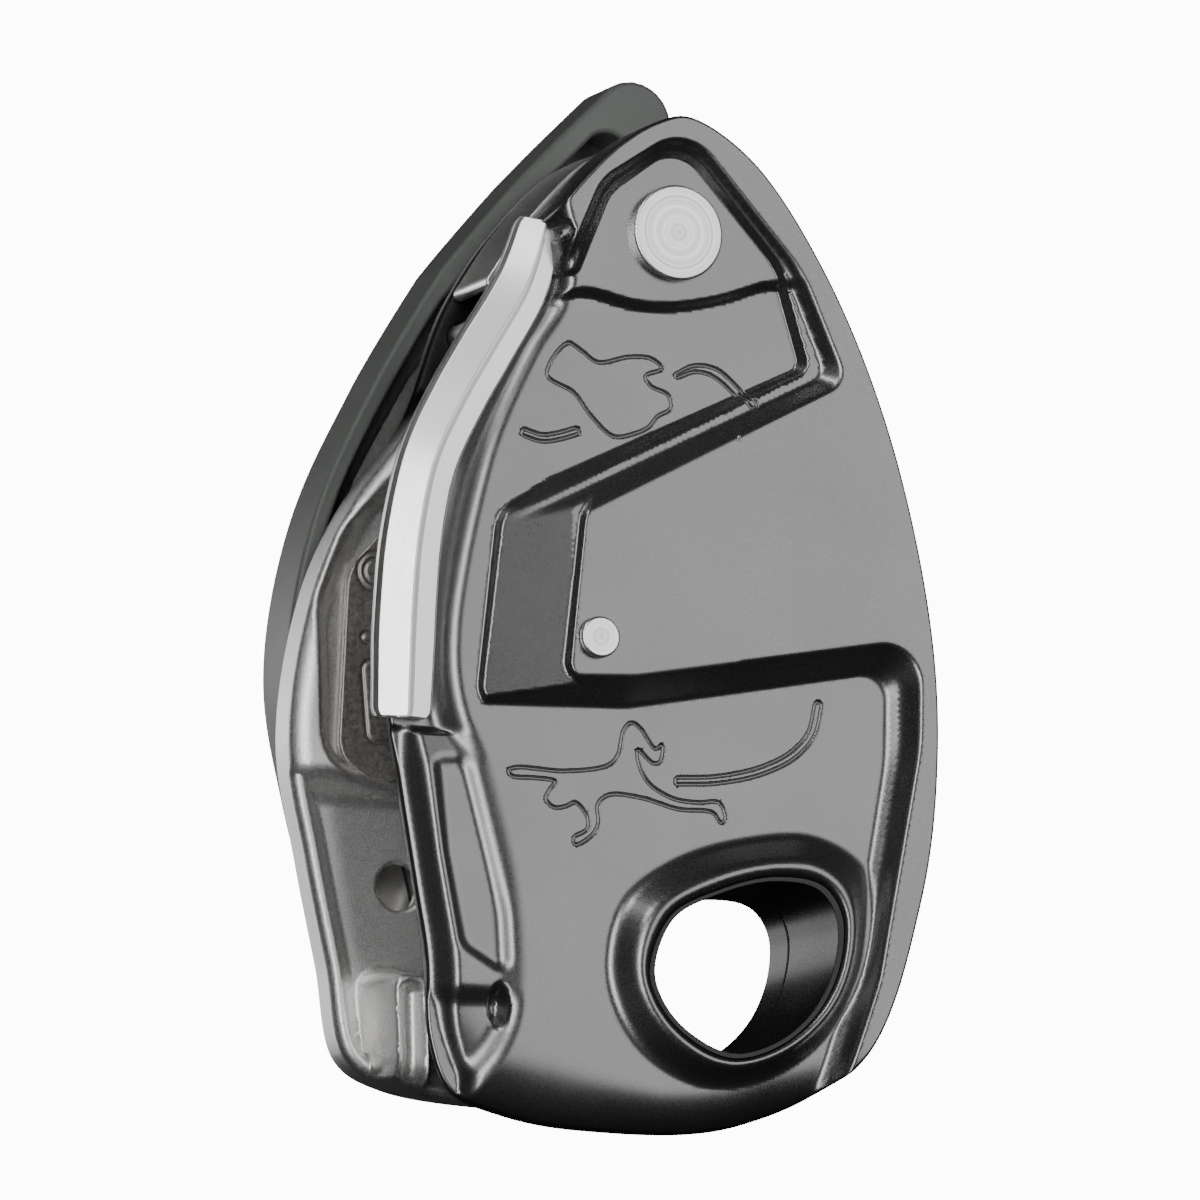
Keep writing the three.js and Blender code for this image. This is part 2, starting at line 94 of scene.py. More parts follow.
# Each softbox stands in a direction from the object's middle and faces it. Metres and watts.
softboxes = {
    "rightSoftbox": ((0.48, -0.86, 0.18), 1.6, 1.0, 1.1, 6.4),
    "leftSoftbox": ((-0.50, -0.85, 0.05), 1.5, 0.36, 1.3, 11.0),
    "topSoftbox": ((-0.50, -0.50, 0.70), 1.5, 0.3, 0.3, 3.0),
    "backLeftSoftbox": ((-0.62, 0.72, 0.30), 1.6, 0.8, 0.9, 3.6),
    "backRightSoftbox": ((0.66, 0.70, 0.26), 1.6, 0.8, 0.9, 5.0),
    "backSoftbox": ((-0.34, 0.92, 0.02), 1.7, 0.7, 0.9, 3.5),
}
softboxAim = (-0.012, 0.0, 0.042)
floorLook = {"half": 9.0, "level": -3.0, "colour": (0.8, 0.8, 0.8), "roughness": 0.9,
             "metallic": 0.0, "glow": 2.4}


def addSoftbox(name, direction, distance, width, height, power):
    data = bpy.data.lights.new(name, "AREA")
    data.shape = "RECTANGLE"
    data.size, data.size_y, data.energy = width, height, power
    box = bpy.data.objects.new(name, data)
    scene.collection.objects.link(box)
    away = Vector(direction).normalized()
    turned = away.to_track_quat("Z", "Y").to_matrix().to_4x4()
    box.matrix_world = Matrix.Translation(Vector(softboxAim) + away * distance) @ turned


# A pale floor that glows a little for the camera alone, and never lights the metal.
def addFloor(look):
    mesh = bpy.data.meshes.new("studioFloor")
    half, level = look["half"], look["level"]
    mesh.from_pydata([(-half, -half, level), (half, -half, level), (half, half, level),
                      (-half, half, level)], [], [(0, 1, 2, 3)])
    floor = bpy.data.objects.new("studioFloor", mesh)
    scene.collection.objects.link(floor)
    material, shader = startMaterial("studioFloor", look)
    setInputs(shader, {"Emission Color": (1, 1, 1, 1), "Emission Strength": look["glow"]})
    mesh.materials.append(material)
    floor.visible_glossy = floor.visible_diffuse = False


# The backdrop is white where it is seen and a dim grey where it only lights the metal.
def addBackdrop(seen, lighting):
    world = bpy.data.worlds.new("studio")
    world.use_nodes = True
    tree = world.node_tree
    tree.nodes.clear()
    dim, white = (addNode(tree, "Background", {"Color": (value, value, value, 1)})[0]
                  for value in (lighting, seen))
    seenPath = addNode(tree, "LightPath", {})["Is Camera Ray"]
    mix = addNode(tree, "MixShader", {"Fac": seenPath, 1: dim, 2: white})
    addNode(tree, "OutputWorld", {"Surface": mix["Shader"]})
    scene.world = world


addCamera(cameraLook)
for name, place in softboxes.items():
    addSoftbox(name, *place)
addFloor(floorLook)
addBackdrop(12.0, 0.008)
print("camera, lights and floor placed")


# Curves and outlines.

# A smooth curve through places; speeds follow the square root of the gaps between them.
def smoothCurve(places, closed=True, steps=16):
    p = np.array(places, float)
    if closed:
        before, start, end, after = np.roll(p, 1, 0), p, np.roll(p, -1, 0), np.roll(p, -2, 0)
    else:
        full = np.vstack([2 * p[0] - p[1], p, 2 * p[-1] - p[-2]])
        before, start, end, after = full[:-3], full[1:-2], full[2:-1], full[3:]
    d0, d1, d2 = (np.sqrt(np.linalg.norm(b - a, axis=1))[:, None]
                  for a, b in ((before, start), (start, end), (end, after)))
    m1 = d1 * ((start - before) / d0 - (end - before) / (d0 + d1) + (end - start) / d1)
    m2 = d1 * ((end - start) / d1 - (after - start) / (d1 + d2) + (after - end) / d2)
    s = (np.arange(steps) / steps)[None, :, None]
    start, end, m1, m2 = start[:, None], end[:, None], m1[:, None], m2[:, None]
    curve = (start * (2 * s**3 - 3 * s**2 + 1) + end * (3 * s**2 - 2 * s**3)
             + m1 * (s**3 - 2 * s**2 + s) + m2 * (s**3 - s**2)).reshape(-1, 2)
    return curve if closed else np.vstack([curve, p[-1]])


# The same curve with points at even steps of its length.
def evened(points, spacing, closed=True):
    full = np.vstack([points, points[:1]]) if closed else points
    along = np.concatenate([[0], np.cumsum(np.linalg.norm(np.diff(full, axis=0), axis=1))])
    count = max(int(round(along[-1] / spacing)), 8)
    places = np.linspace(0, along[-1], count + 1)
    result = np.column_stack([np.interp(places, along, full[:, 0]),
                              np.interp(places, along, full[:, 1])])
    return result[:-1] if closed else result


def signedArea(loop):
    ahead = np.roll(loop, -1, 0)
    return np.sum(loop[:, 0] * ahead[:, 1] - ahead[:, 0] * loop[:, 1]) / 2


def counterClockwise(loop):
    return loop if signedArea(loop) > 0 else loop[::-1]


# Corners [x, z, radius] become true arcs; also gives the outward direction at each point.
def roundedCorners(corners, steps=8):
    c = np.array(corners, float)
    c = c if signedArea(c[:, :2]) > 0 else c[::-1]
    p, radius = c[:, :2], np.maximum(c[:, 2:3], 1e-4)
    back, ahead = np.roll(p, 1, 0) - p, np.roll(p, -1, 0) - p
    back /= np.linalg.norm(back, axis=1)[:, None]
    ahead /= np.linalg.norm(ahead, axis=1)[:, None]
    half = np.arccos(np.clip(np.sum(back * ahead, 1), -1, 1))[:, None] / 2
    middle = back + ahead
    middle = p + middle / np.linalg.norm(middle, axis=1)[:, None] * radius / np.sin(half)
    start = p + back * radius / np.tan(half) - middle
    turn = np.pi - 2 * half[:, 0]
    side = np.sign(back[:, 0] * ahead[:, 1] - back[:, 1] * ahead[:, 0])
    angle = -side[:, None] * turn[:, None] * np.linspace(0, 1, steps + 1)[None]
    x = start[:, :1] * np.cos(angle) - start[:, 1:] * np.sin(angle)
    z = start[:, :1] * np.sin(angle) + start[:, 1:] * np.cos(angle)
    arc = np.stack([x, z], 2)
    outward = -side[:, None, None] * arc / radius[:, :, None]
    return (middle[:, None] + arc).reshape(-1, 2), outward.reshape(-1, 2)


def corner(corners, steps=8):
    return roundedCorners(corners, steps)[0]


# Points at even angles round a centre.
def circle(x, z, radius, sides=64):
    angle = 2 * np.pi * np.arange(sides) / sides
    return np.column_stack([x + radius * np.cos(angle), z + radius * np.sin(angle)])


# A smooth path at even steps, with its direction, its side and its half width at each.
def followed(path, halves, spacing):
    line = evened(smoothCurve(path, False), spacing, False)
    along = np.gradient(line, axis=0)
    along /= np.linalg.norm(along, axis=1)[:, None]
    side = np.column_stack([-along[:, 1], along[:, 0]])
    places = np.linspace(0, 1, len(line))
    half = np.interp(places, np.linspace(0, 1, len(halves)), halves)[:, None]
    return line, along, side, half


# A band of changing half width along a smooth path, with round ends.
def bandLoop(path, halves, spacing=0.5, capSteps=10):
    line, along, side, half = followed(path, halves, spacing)
    fan = np.pi * np.arange(1, capSteps)[:, None] / capSteps
    start = line[0] + half[0] * (-side[0] * np.cos(fan) - along[0] * np.sin(fan))
    end = line[-1] + half[-1] * (side[-1] * np.cos(fan) + along[-1] * np.sin(fan))
    return counterClockwise(np.vstack([line + side * half, end,
                                       (line - side * half)[::-1], start]))


# The loops below run over an outline's few sides, and each step handles every point.
def distanceTo(points, line, closed=True):
    x, z = np.ascontiguousarray(points[:, 0]), np.ascontiguousarray(points[:, 1])
    start = line if closed else line[:-1]
    end = np.roll(line, -1, 0) if closed else line[1:]
    best = np.full(len(points), 1e9)
    for (ax, az), (bx, bz) in zip(start.tolist(), end.tolist()):
        runX, runZ = bx - ax, bz - az
        gapX, gapZ = x - ax, z - az
        share = (gapX * runX + gapZ * runZ) / max(runX * runX + runZ * runZ, 1e-12)
        np.clip(share, 0, 1, out=share)
        gapX -= share * runX
        gapZ -= share * runZ
        np.minimum(best, gapX * gapX + gapZ * gapZ, out=best)
    return np.sqrt(best)


# A point is inside when a ray from it towards lower x crosses the loop an odd number of times.
def isInside(points, loop):
    x, z = np.ascontiguousarray(points[:, 0]), np.ascontiguousarray(points[:, 1])
    inside = np.zeros(len(points), bool)
    for (ax, az), (bx, bz) in zip(loop.tolist(), np.roll(loop, -1, 0).tolist()):
        if az == bz:
            continue
        spans = (az > z) != (bz > z)
        inside ^= spans & (x < (bx - ax) * (z - az) / (bz - az) + ax)
    return inside


# Distance to a closed loop, negative inside it.
def signedDistance(points, loop):
    return np.where(isInside(points, loop), -1, 1) * distanceTo(points, loop)


# Climbs from 0 to 1 between start and end, with both corners rounded over a width.
def easedRamp(value, start, end, width):
    def bend(t):
        middle = (t + width / 2)**2 / (2 * width)
        return np.where(t <= -width / 2, 0, np.where(t >= width / 2, t, middle))
    return (bend(value - start) - bend(value - end)) / (end - start)


# The ramp taken by the distance in from a loop.
def rampInside(points, loop, ramp):
    return easedRamp(-signedDistance(points, loop), *ramp)


def reachFrom(axis, points):
    return np.hypot(points[:, 0] - axis[0], points[:, 1] - axis[1])


# How far a quarter circle of radius 1 has fallen, from 0 at its top to 1 at its side.
def quarterRound(share):
    return 1 - np.sqrt(np.clip(1 - share**2, 0, 1))


# 0 on a pocket's floor and 1 at its rim, for a wall that leans between two outlines.
def wallShare(points, floorLoop, rimLoop, rounding):
    low, high = signedDistance(points, floorLoop), signedDistance(points, rimLoop)
    width = np.maximum(low - high, 0.2)
    return np.clip(easedRamp(low / width, 0, 1, np.minimum(rounding / width, 0.9)), 0, 1)


# The lower of two values, with the corner between them rounded over a width.
def softMinimum(a, b, width):
    share = np.clip(0.5 + 0.5 * (b - a) / width, 0, 1)
    return b + (a - b) * share - width * share * (1 - share)


# Meshes.

# Makes a piece from vertices in millimetres, faces out, with a given normal at each vertex.
def addMesh(name, vertices, faces, normals, body, material, replaces=()):
    mesh = bpy.data.meshes.new(name)
    mesh.from_pydata((vertices * mm).tolist(), [], faces)
    mesh.polygons.foreach_set("use_smooth", np.ones(len(mesh.polygons), bool))
    shape = bmesh.new()
    shape.from_mesh(mesh)
    if shape.calc_volume(signed=True) < 0:
        mesh.flip_normals()
    shape.free()
    mesh.normals_split_custom_set_from_vertices(normals.tolist())
    mesh.materials.append(material)
    piece = bpy.data.objects.new(name, mesh)
    scene.collection.objects.link(piece)
    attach(piece, body)
    if replaces:
        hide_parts(*replaces)


# The direction at a right angle to a counterclockwise loop, away from its inside.
def outwardOf(loop):
    along = np.roll(loop, -1, 0) - np.roll(loop, 1, 0)
    along /= np.linalg.norm(along, axis=1)[:, None]
    return np.column_stack([along[:, 1], -along[:, 0]])


# Rows of points, every other row moved by half a step, over a loop's bounding box.
def hexGrid(loop, spacing):
    low, high = loop.min(0), loop.max(0)
    x = np.arange(low[0], high[0], spacing)
    z = np.arange(low[1], high[1], spacing * 0.866)
    gx, gz = np.meshgrid(x, z)
    gx = gx + np.where(np.arange(len(z)) % 2, spacing / 2, 0)[:, None]
    return np.column_stack([gx.ravel(), gz.ravel()])


# Fills the space between an outer loop and holes with triangles, all facing one way.
def filled(outer, holes, inner):
    loops = [outer, *holes]
    edges, first = [], 0
    for loop in loops:
        index = np.arange(len(loop)) + first
        edges += np.column_stack([index, np.roll(index, -1)]).tolist()
        first += len(loop)
    points = np.vstack([*loops, inner])
    made = delaunay_2d_cdt([Vector(p) for p in points.tolist()], edges, [], 1, 1e-7, True)
    if len(made[0]) != len(points):
        raise ValueError("an outline crosses itself")
    faces = np.array([f for f in made[2] if len(f) == 3])
    middle = points[faces].mean(1)
    keep = isInside(middle, outer)
    for hole in holes:
        keep &= ~isInside(middle, hole)
    faces = faces[keep]
    a, b, c = points[faces[:, 0]], points[faces[:, 1]], points[faces[:, 2]]
    area = (b[:, 0] - a[:, 0]) * (c[:, 1] - a[:, 1]) - (b[:, 1] - a[:, 1]) * (c[:, 0] - a[:, 0])
    faces[area < 0] = faces[area < 0][:, ::-1]
    return faces


# The normal of y = height(x, z), from small steps to each side.
def surfaceNormals(height, points, facing):
    step = 0.03
    slopeX = (height(points + [step, 0]) - height(points - [step, 0])) / (2 * step)
    slopeZ = (height(points + [0, step]) - height(points - [0, step])) / (2 * step)
    normal = np.column_stack([slopeX, -np.ones(len(points)), slopeZ]) * facing
    return normal / np.linalg.norm(normal, axis=1)[:, None]


# A flat face at one y.
def level(value):
    return lambda points: np.full(len(points), float(value))


# How widely a pocket's wall is rounded at its foot.
footRadius = 0.6


# A plate whose front and back are heights over its outline, with rounded edges all round.
# Holes go through; pockets are loops cut in from the front down to a flat floor, and floor
# holes go on from a pocket's floor to the back.
def addPlate(name, outer, front, back, body, material, replaces=(), holes=(),
             pockets=(), floorHoles=(), rounding=0.4, backRounding=0.3, grid=None,
             backGrid=None, extra=None, steps=4):
    vertices, normals, faces, count = [], [], [], 0
    theta = np.linspace(0, np.pi / 2, steps + 1)
    frontLoops, frontIds, backLoops, backIds, floorLoops, floorIds = [], [], [], [], [], []
    rings = [(counterClockwise(outer), 1, None, front)]
    rings += [(counterClockwise(hole), -1, None, front) for hole in holes]
    rings += [(counterClockwise(hole), -1, None, level(depth)) for hole, depth in floorHoles]
    rings += [(counterClockwise(loop), -1, depth, front) for loop, depth in pockets]
    for loop, side, depth, start in rings:
        outward = outwardOf(loop) * side
        flat = np.column_stack([outward[:, 0], np.zeros(len(loop)), outward[:, 1]])
        top, low = loop - outward * rounding, loop - outward * backRounding
        bends = [(theta, rounding, rounding, start(top), surfaceNormals(start, top, 1))]
        if depth is None:
            bends.append((theta[::-1], backRounding, -backRounding, back(low),
                          surfaceNormals(back, low, -1)))
        else:
            bends.append((theta[::-1], -footRadius, -footRadius, depth,
                          np.array([0, -1, 0])))
        rows, rowNormals = [], []
        for angles, inset, rise, y, facing in bends:
            for angle in angles:
                place = loop - outward * inset * (1 - np.sin(angle))
                height = np.broadcast_to(y + rise * (1 - np.cos(angle)), len(loop))
                rows.append(np.column_stack([place[:, 0], height, place[:, 1]]))
                rowNormals.append(np.cos(angle) * facing + np.sin(angle) * flat)
        size = len(loop)
        ids = count + np.arange(len(rows) * size).reshape(len(rows), size)
        count += ids.size
        vertices += rows
        normals += rowNormals
        ahead = np.roll(ids, -1, 1)
        quads = np.stack([ids[1:], ahead[1:], ahead[:-1], ids[:-1]], 2).reshape(-1, 4)
        faces += (quads if side > 0 else quads[:, ::-1]).tolist()
        (frontLoops if start is front else floorLoops).append(rows[0][:, [0, 2]])
        (frontIds if start is front else floorIds).append(ids[0])
        if depth is None:
            backLoops.append(rows[-1][:, [0, 2]])
            backIds.append(ids[-1])
        else:
            made = filled(rows[-1][:, [0, 2]], floorLoops, np.empty((0, 2)))
            faces += np.concatenate([ids[-1], *floorIds])[made].tolist()
    for loops, ids, height, spacing, facing in (
            (frontLoops, frontIds, front, grid, 1), (backLoops, backIds, back, backGrid, -1)):
        inner = np.empty((0, 2))
        if spacing:
            inner = hexGrid(loops[0], spacing)
            inner = inner[isInside(inner, loops[0])]
            if extra is not None and facing > 0:
                near = np.min([distanceTo(inner, line) for line in extra[1]], 0)
                inner = np.vstack([inner[near > extra[0]], extra[2]])
            keep = signedDistance(inner, loops[0]) < -0.4 * spacing
            for hole in loops[1:]:
                keep &= signedDistance(inner, hole) > 0.4 * spacing
            inner = inner[keep]
        made = filled(loops[0], loops[1:], inner)
        known = np.concatenate(ids)
        table = np.concatenate([known, count + np.arange(len(inner))])
        if len(inner):
            vertices.append(np.column_stack([inner[:, 0], height(inner), inner[:, 1]]))
            normals.append(surfaceNormals(height, inner, facing))
            count += len(inner)
        made = table[made]
        faces += (made if facing > 0 else made[:, ::-1]).tolist()
    normals = np.vstack(normals)
    normals /= np.linalg.norm(normals, axis=1)[:, None]
    addMesh(name, np.vstack(vertices), faces, normals, body, material, replaces)


# A body turned about an axis along Y, from corners [radius, y, rounding].
def addTurned(name, axis, corners, body, material, replaces=(), sides=96, steps=4):
    solid = min(c[0] for c in corners) <= 0
    points, outward = roundedCorners(corners, steps)
    if solid:
        onAxis = points[:, 0] < 1e-3
        first = int(np.flatnonzero(onAxis & ~np.roll(onAxis, -1))[0])
        points, outward = np.roll(points, -first, 0), np.roll(outward, -first, 0)
        keep = ~(points[:, 0] < 1e-3)
        points, outward = points[keep], outward[keep]
    angle = 2 * np.pi * np.arange(sides) / sides
    spin = np.stack([np.cos(angle), np.sin(angle)], 1)
    place = np.stack([axis[0] + points[:, :1] * spin[:, 0], np.repeat(points[:, 1:], sides, 1),
                      axis[1] + points[:, :1] * spin[:, 1]], 2)
    normal = np.stack([outward[:, :1] * spin[:, 0], np.repeat(outward[:, 1:], sides, 1),
                       outward[:, :1] * spin[:, 1]], 2)
    rows = len(points)
    ids = np.arange(rows * sides).reshape(rows, sides)
    low, high = (ids[:-1], ids[1:]) if solid else (ids, np.roll(ids, -1, 0))
    quads = np.stack([low, high, np.roll(high, -1, 1), np.roll(low, -1, 1)], 2)
    faces = quads.reshape(-1, 4).tolist()
    vertices, normals = place.reshape(-1, 3), normal.reshape(-1, 3)
    if solid:
        way = np.sign(points[0, 1] - points[-1, 1])
        vertices = np.vstack([vertices, [[axis[0], y, axis[1]] for y in points[[0, -1], 1]]])
        normals = np.vstack([normals, [[0, way, 0], [0, -way, 0]]])
        for tip, ring, turn in ((rows * sides, ids[0], 1), (rows * sides + 1, ids[-1], -1)):
            fan = [np.full(sides, tip), *[ring, np.roll(ring, -1)][::turn]]
            faces += np.column_stack(fan).tolist()
    addMesh(name, vertices, faces, normals, body, material, replaces)


# Materials.

# Finishes are built from noise in the object's own coordinates, so they need no pictures.
def addNoise(tree, scale, stretch=(1, 1, 1), detail=3.0):
    place = addNode(tree, "TexCoord", {})["Object"]
    place = addNode(tree, "Mapping", {"Vector": place, "Scale": stretch})["Vector"]
    return addNode(tree, "TexNoise", {"Vector": place, "Scale": scale, "Detail": detail})["Fac"]


# Noise lies mostly between 0.3 and 0.7, which is spread over low to high.
def spread(tree, value, low, high):
    return addNode(tree, "MapRange", {"Value": value, "From Min": 0.3, "From Max": 0.7,
                                      "To Min": low, "To Max": high})["Result"]


def addBump(tree, height, strength, depth):
    return addNode(tree, "Bump", {"Height": height, "Strength": strength,
                                  "Distance": depth})["Normal"]


# Fine grain shades the colour, roughness and surface, and wide patches vary the roughness.
def grainMaterial(name, look):
    look = {**grainLook, **look}
    material, shader = startMaterial(name, look)
    tree = material.node_tree
    grain = addNoise(tree, look["grain"], look["stretch"])
    patches = addNoise(tree, look["patches"], detail=4.0)
    rough = spread(tree, patches, look["roughness"] - look["spread"],
                   look["roughness"] + look["spread"])
    fine = spread(tree, grain, -look["grainShade"], look["grainShade"])
    dark, light = ((*[min(c * (1 + change), 1) for c in look["colour"]], 1)
                   for change in (-look["mottle"], look["mottle"]))
    shade = addNode(tree, "Mix", {"A": dark, "B": light, "Factor": spread(tree, grain, 0, 1)},
                    data_type="RGBA")["Result"]
    setInputs(shader, {
        "Roughness": addNode(tree, "Math", {0: rough, 1: fine})[0], "Base Color": shade,
        "Normal": addBump(tree, grain, look["bump"], look["bumpDepth"])})
    return material


# Fine rings about an axis along Y, as a lathe leaves them.
def lathedMaterial(name, look, axis):
    material, shader = startMaterial(name, look)
    tree = material.node_tree
    place = addNode(tree, "TexCoord", {})["Object"]
    place = addNode(tree, "Mapping", {"Vector": place, "Scale": (1, 0, 1), "Location": (
        -axis[0] * mm, 0, -axis[1] * mm)})["Vector"]
    reach = addNode(tree, "VectorMath", {0: place}, operation="LENGTH")["Value"]
    rings = addNode(tree, "TexNoise", {"Scale": look["rings"], "Detail": 2.0, "W": reach},
                    noise_dimensions="1D")["Fac"]
    rough = spread(tree, rings, look["roughness"] - look["spread"],
                   look["roughness"] + look["spread"])
    setInputs(shader, {"Roughness": rough,
                       "Normal": addBump(tree, rings, look["bump"], look["bumpDepth"])})
    return material


grainLook = {"metallic": 1.0, "spread": 0.03, "stretch": (1, 1, 1), "patches": 60.0,
             "bumpDepth": 0.00002}
anodised = grainMaterial("anodised", {
    "colour": (0.25, 0.243, 0.247), "roughness": 0.31, "metallic": 0.95, "spread": 0.02,
    "grain": 5200.0, "grainShade": 0.05, "mottle": 0.05, "bump": 0.12})
polished = grainMaterial("polished", {
    "colour": (0.97, 0.96, 0.945), "roughness": 0.33, "spread": 0.02, "grain": 9000.0,
    "stretch": (1.0, 1.0, 0.03), "grainShade": 0.04, "mottle": 0.04, "bump": 0.03})
blastedLook = {
    "colour": (0.92, 0.905, 0.88), "roughness": 0.45, "metallic": 0.95, "grain": 4400.0,
    "grainShade": 0.08, "mottle": 0.13, "bump": 0.6, "bumpDepth": 0.00004}
blasted = grainMaterial("blasted", blastedLook)
insetMetal = grainMaterial("insetMetal", {
    **blastedLook, "colour": (0.40, 0.385, 0.365), "roughness": 0.48, "metallic": 0.9,
    "grain": 3200.0, "mottle": 0.2, "bump": 0.5})
steel = grainMaterial("steel", {
    "colour": (0.68, 0.67, 0.65), "roughness": 0.42, "grain": 9000.0,
    "stretch": (1.0, 1.0, 0.1), "grainShade": 0.03, "mottle": 0.03, "bump": 0.05})
springSteel = grainMaterial("springSteel", {
    "colour": (0.42, 0.41, 0.39), "roughness": 0.38, "spread": 0.04, "grain": 2600.0,
    "grainShade": 0.05, "mottle": 0.08, "bump": 0.15})
handlePlastic = grainMaterial("handlePlastic", {
    "colour": (0.135, 0.145, 0.136), "roughness": 0.42, "metallic": 0.0, "grain": 4200.0,
    "grainShade": 0.05, "mottle": 0.08, "bump": 0.25})
darkLiner = grainMaterial("darkLiner", {
    "colour": (0.02, 0.019, 0.02), "roughness": 0.28, "metallic": 0.4, "spread": 0.04,
    "grain": 3000.0, "grainShade": 0.04, "mottle": 0.1, "bump": 0.1})
lathe = {"colour": (0.95, 0.94, 0.925), "roughness": 0.34, "metallic": 1.0, "rings": 1800.0,
         "spread": 0.10, "bump": 0.9, "bumpDepth": 0.00003}
# The cast plate's channel side is painted dark above its raised wall, at the left: painted shade
# that stands in for the shadow in the channel.
castMetal = grainMaterial("castMetal", blastedLook)


# Painted shade: a near-black colour mixed into the cast plate where its channel side lies in
# shadow.
paintedShade = {"ramps": (("Z", 61.0, 65.0), ("Y", 6.5, 5.9), ("X", -20.0, -26.0)),
           "colour": (0.03, 0.03, 0.03)}


# The share of painted shade is a product of three ramps, along Z, Y and X.
def addPaintedShade(material, look):
    tree = material.node_tree
    shader = tree.nodes["Principled BSDF"]
    plain = shader.inputs["Base Color"].links[0].from_socket
    place = addNode(tree, "TexCoord", {})["Object"]
    split = addNode(tree, "SeparateXYZ", {"Vector": place})
    share = 1.0
    for axis, start, end in look["ramps"]:
        ramp = addNode(tree, "MapRange", {"Value": split[axis], "From Min": start * mm,
                                          "From Max": end * mm})["Result"]
        share = addNode(tree, "Math", {0: share, 1: ramp}, operation="MULTIPLY")["Value"]
    # Mixes the painted shade's dark colour into the plate's own colour.
    mix = addNode(tree, "Mix", {"Factor": share, "A": plain, "B": (*look["colour"], 1)},
                  data_type="RGBA")
    setInputs(shader, {"Base Color": mix["Result"]})


addPaintedShade(castMetal, paintedShade)
print("materials ready")


# Swinging side plate.

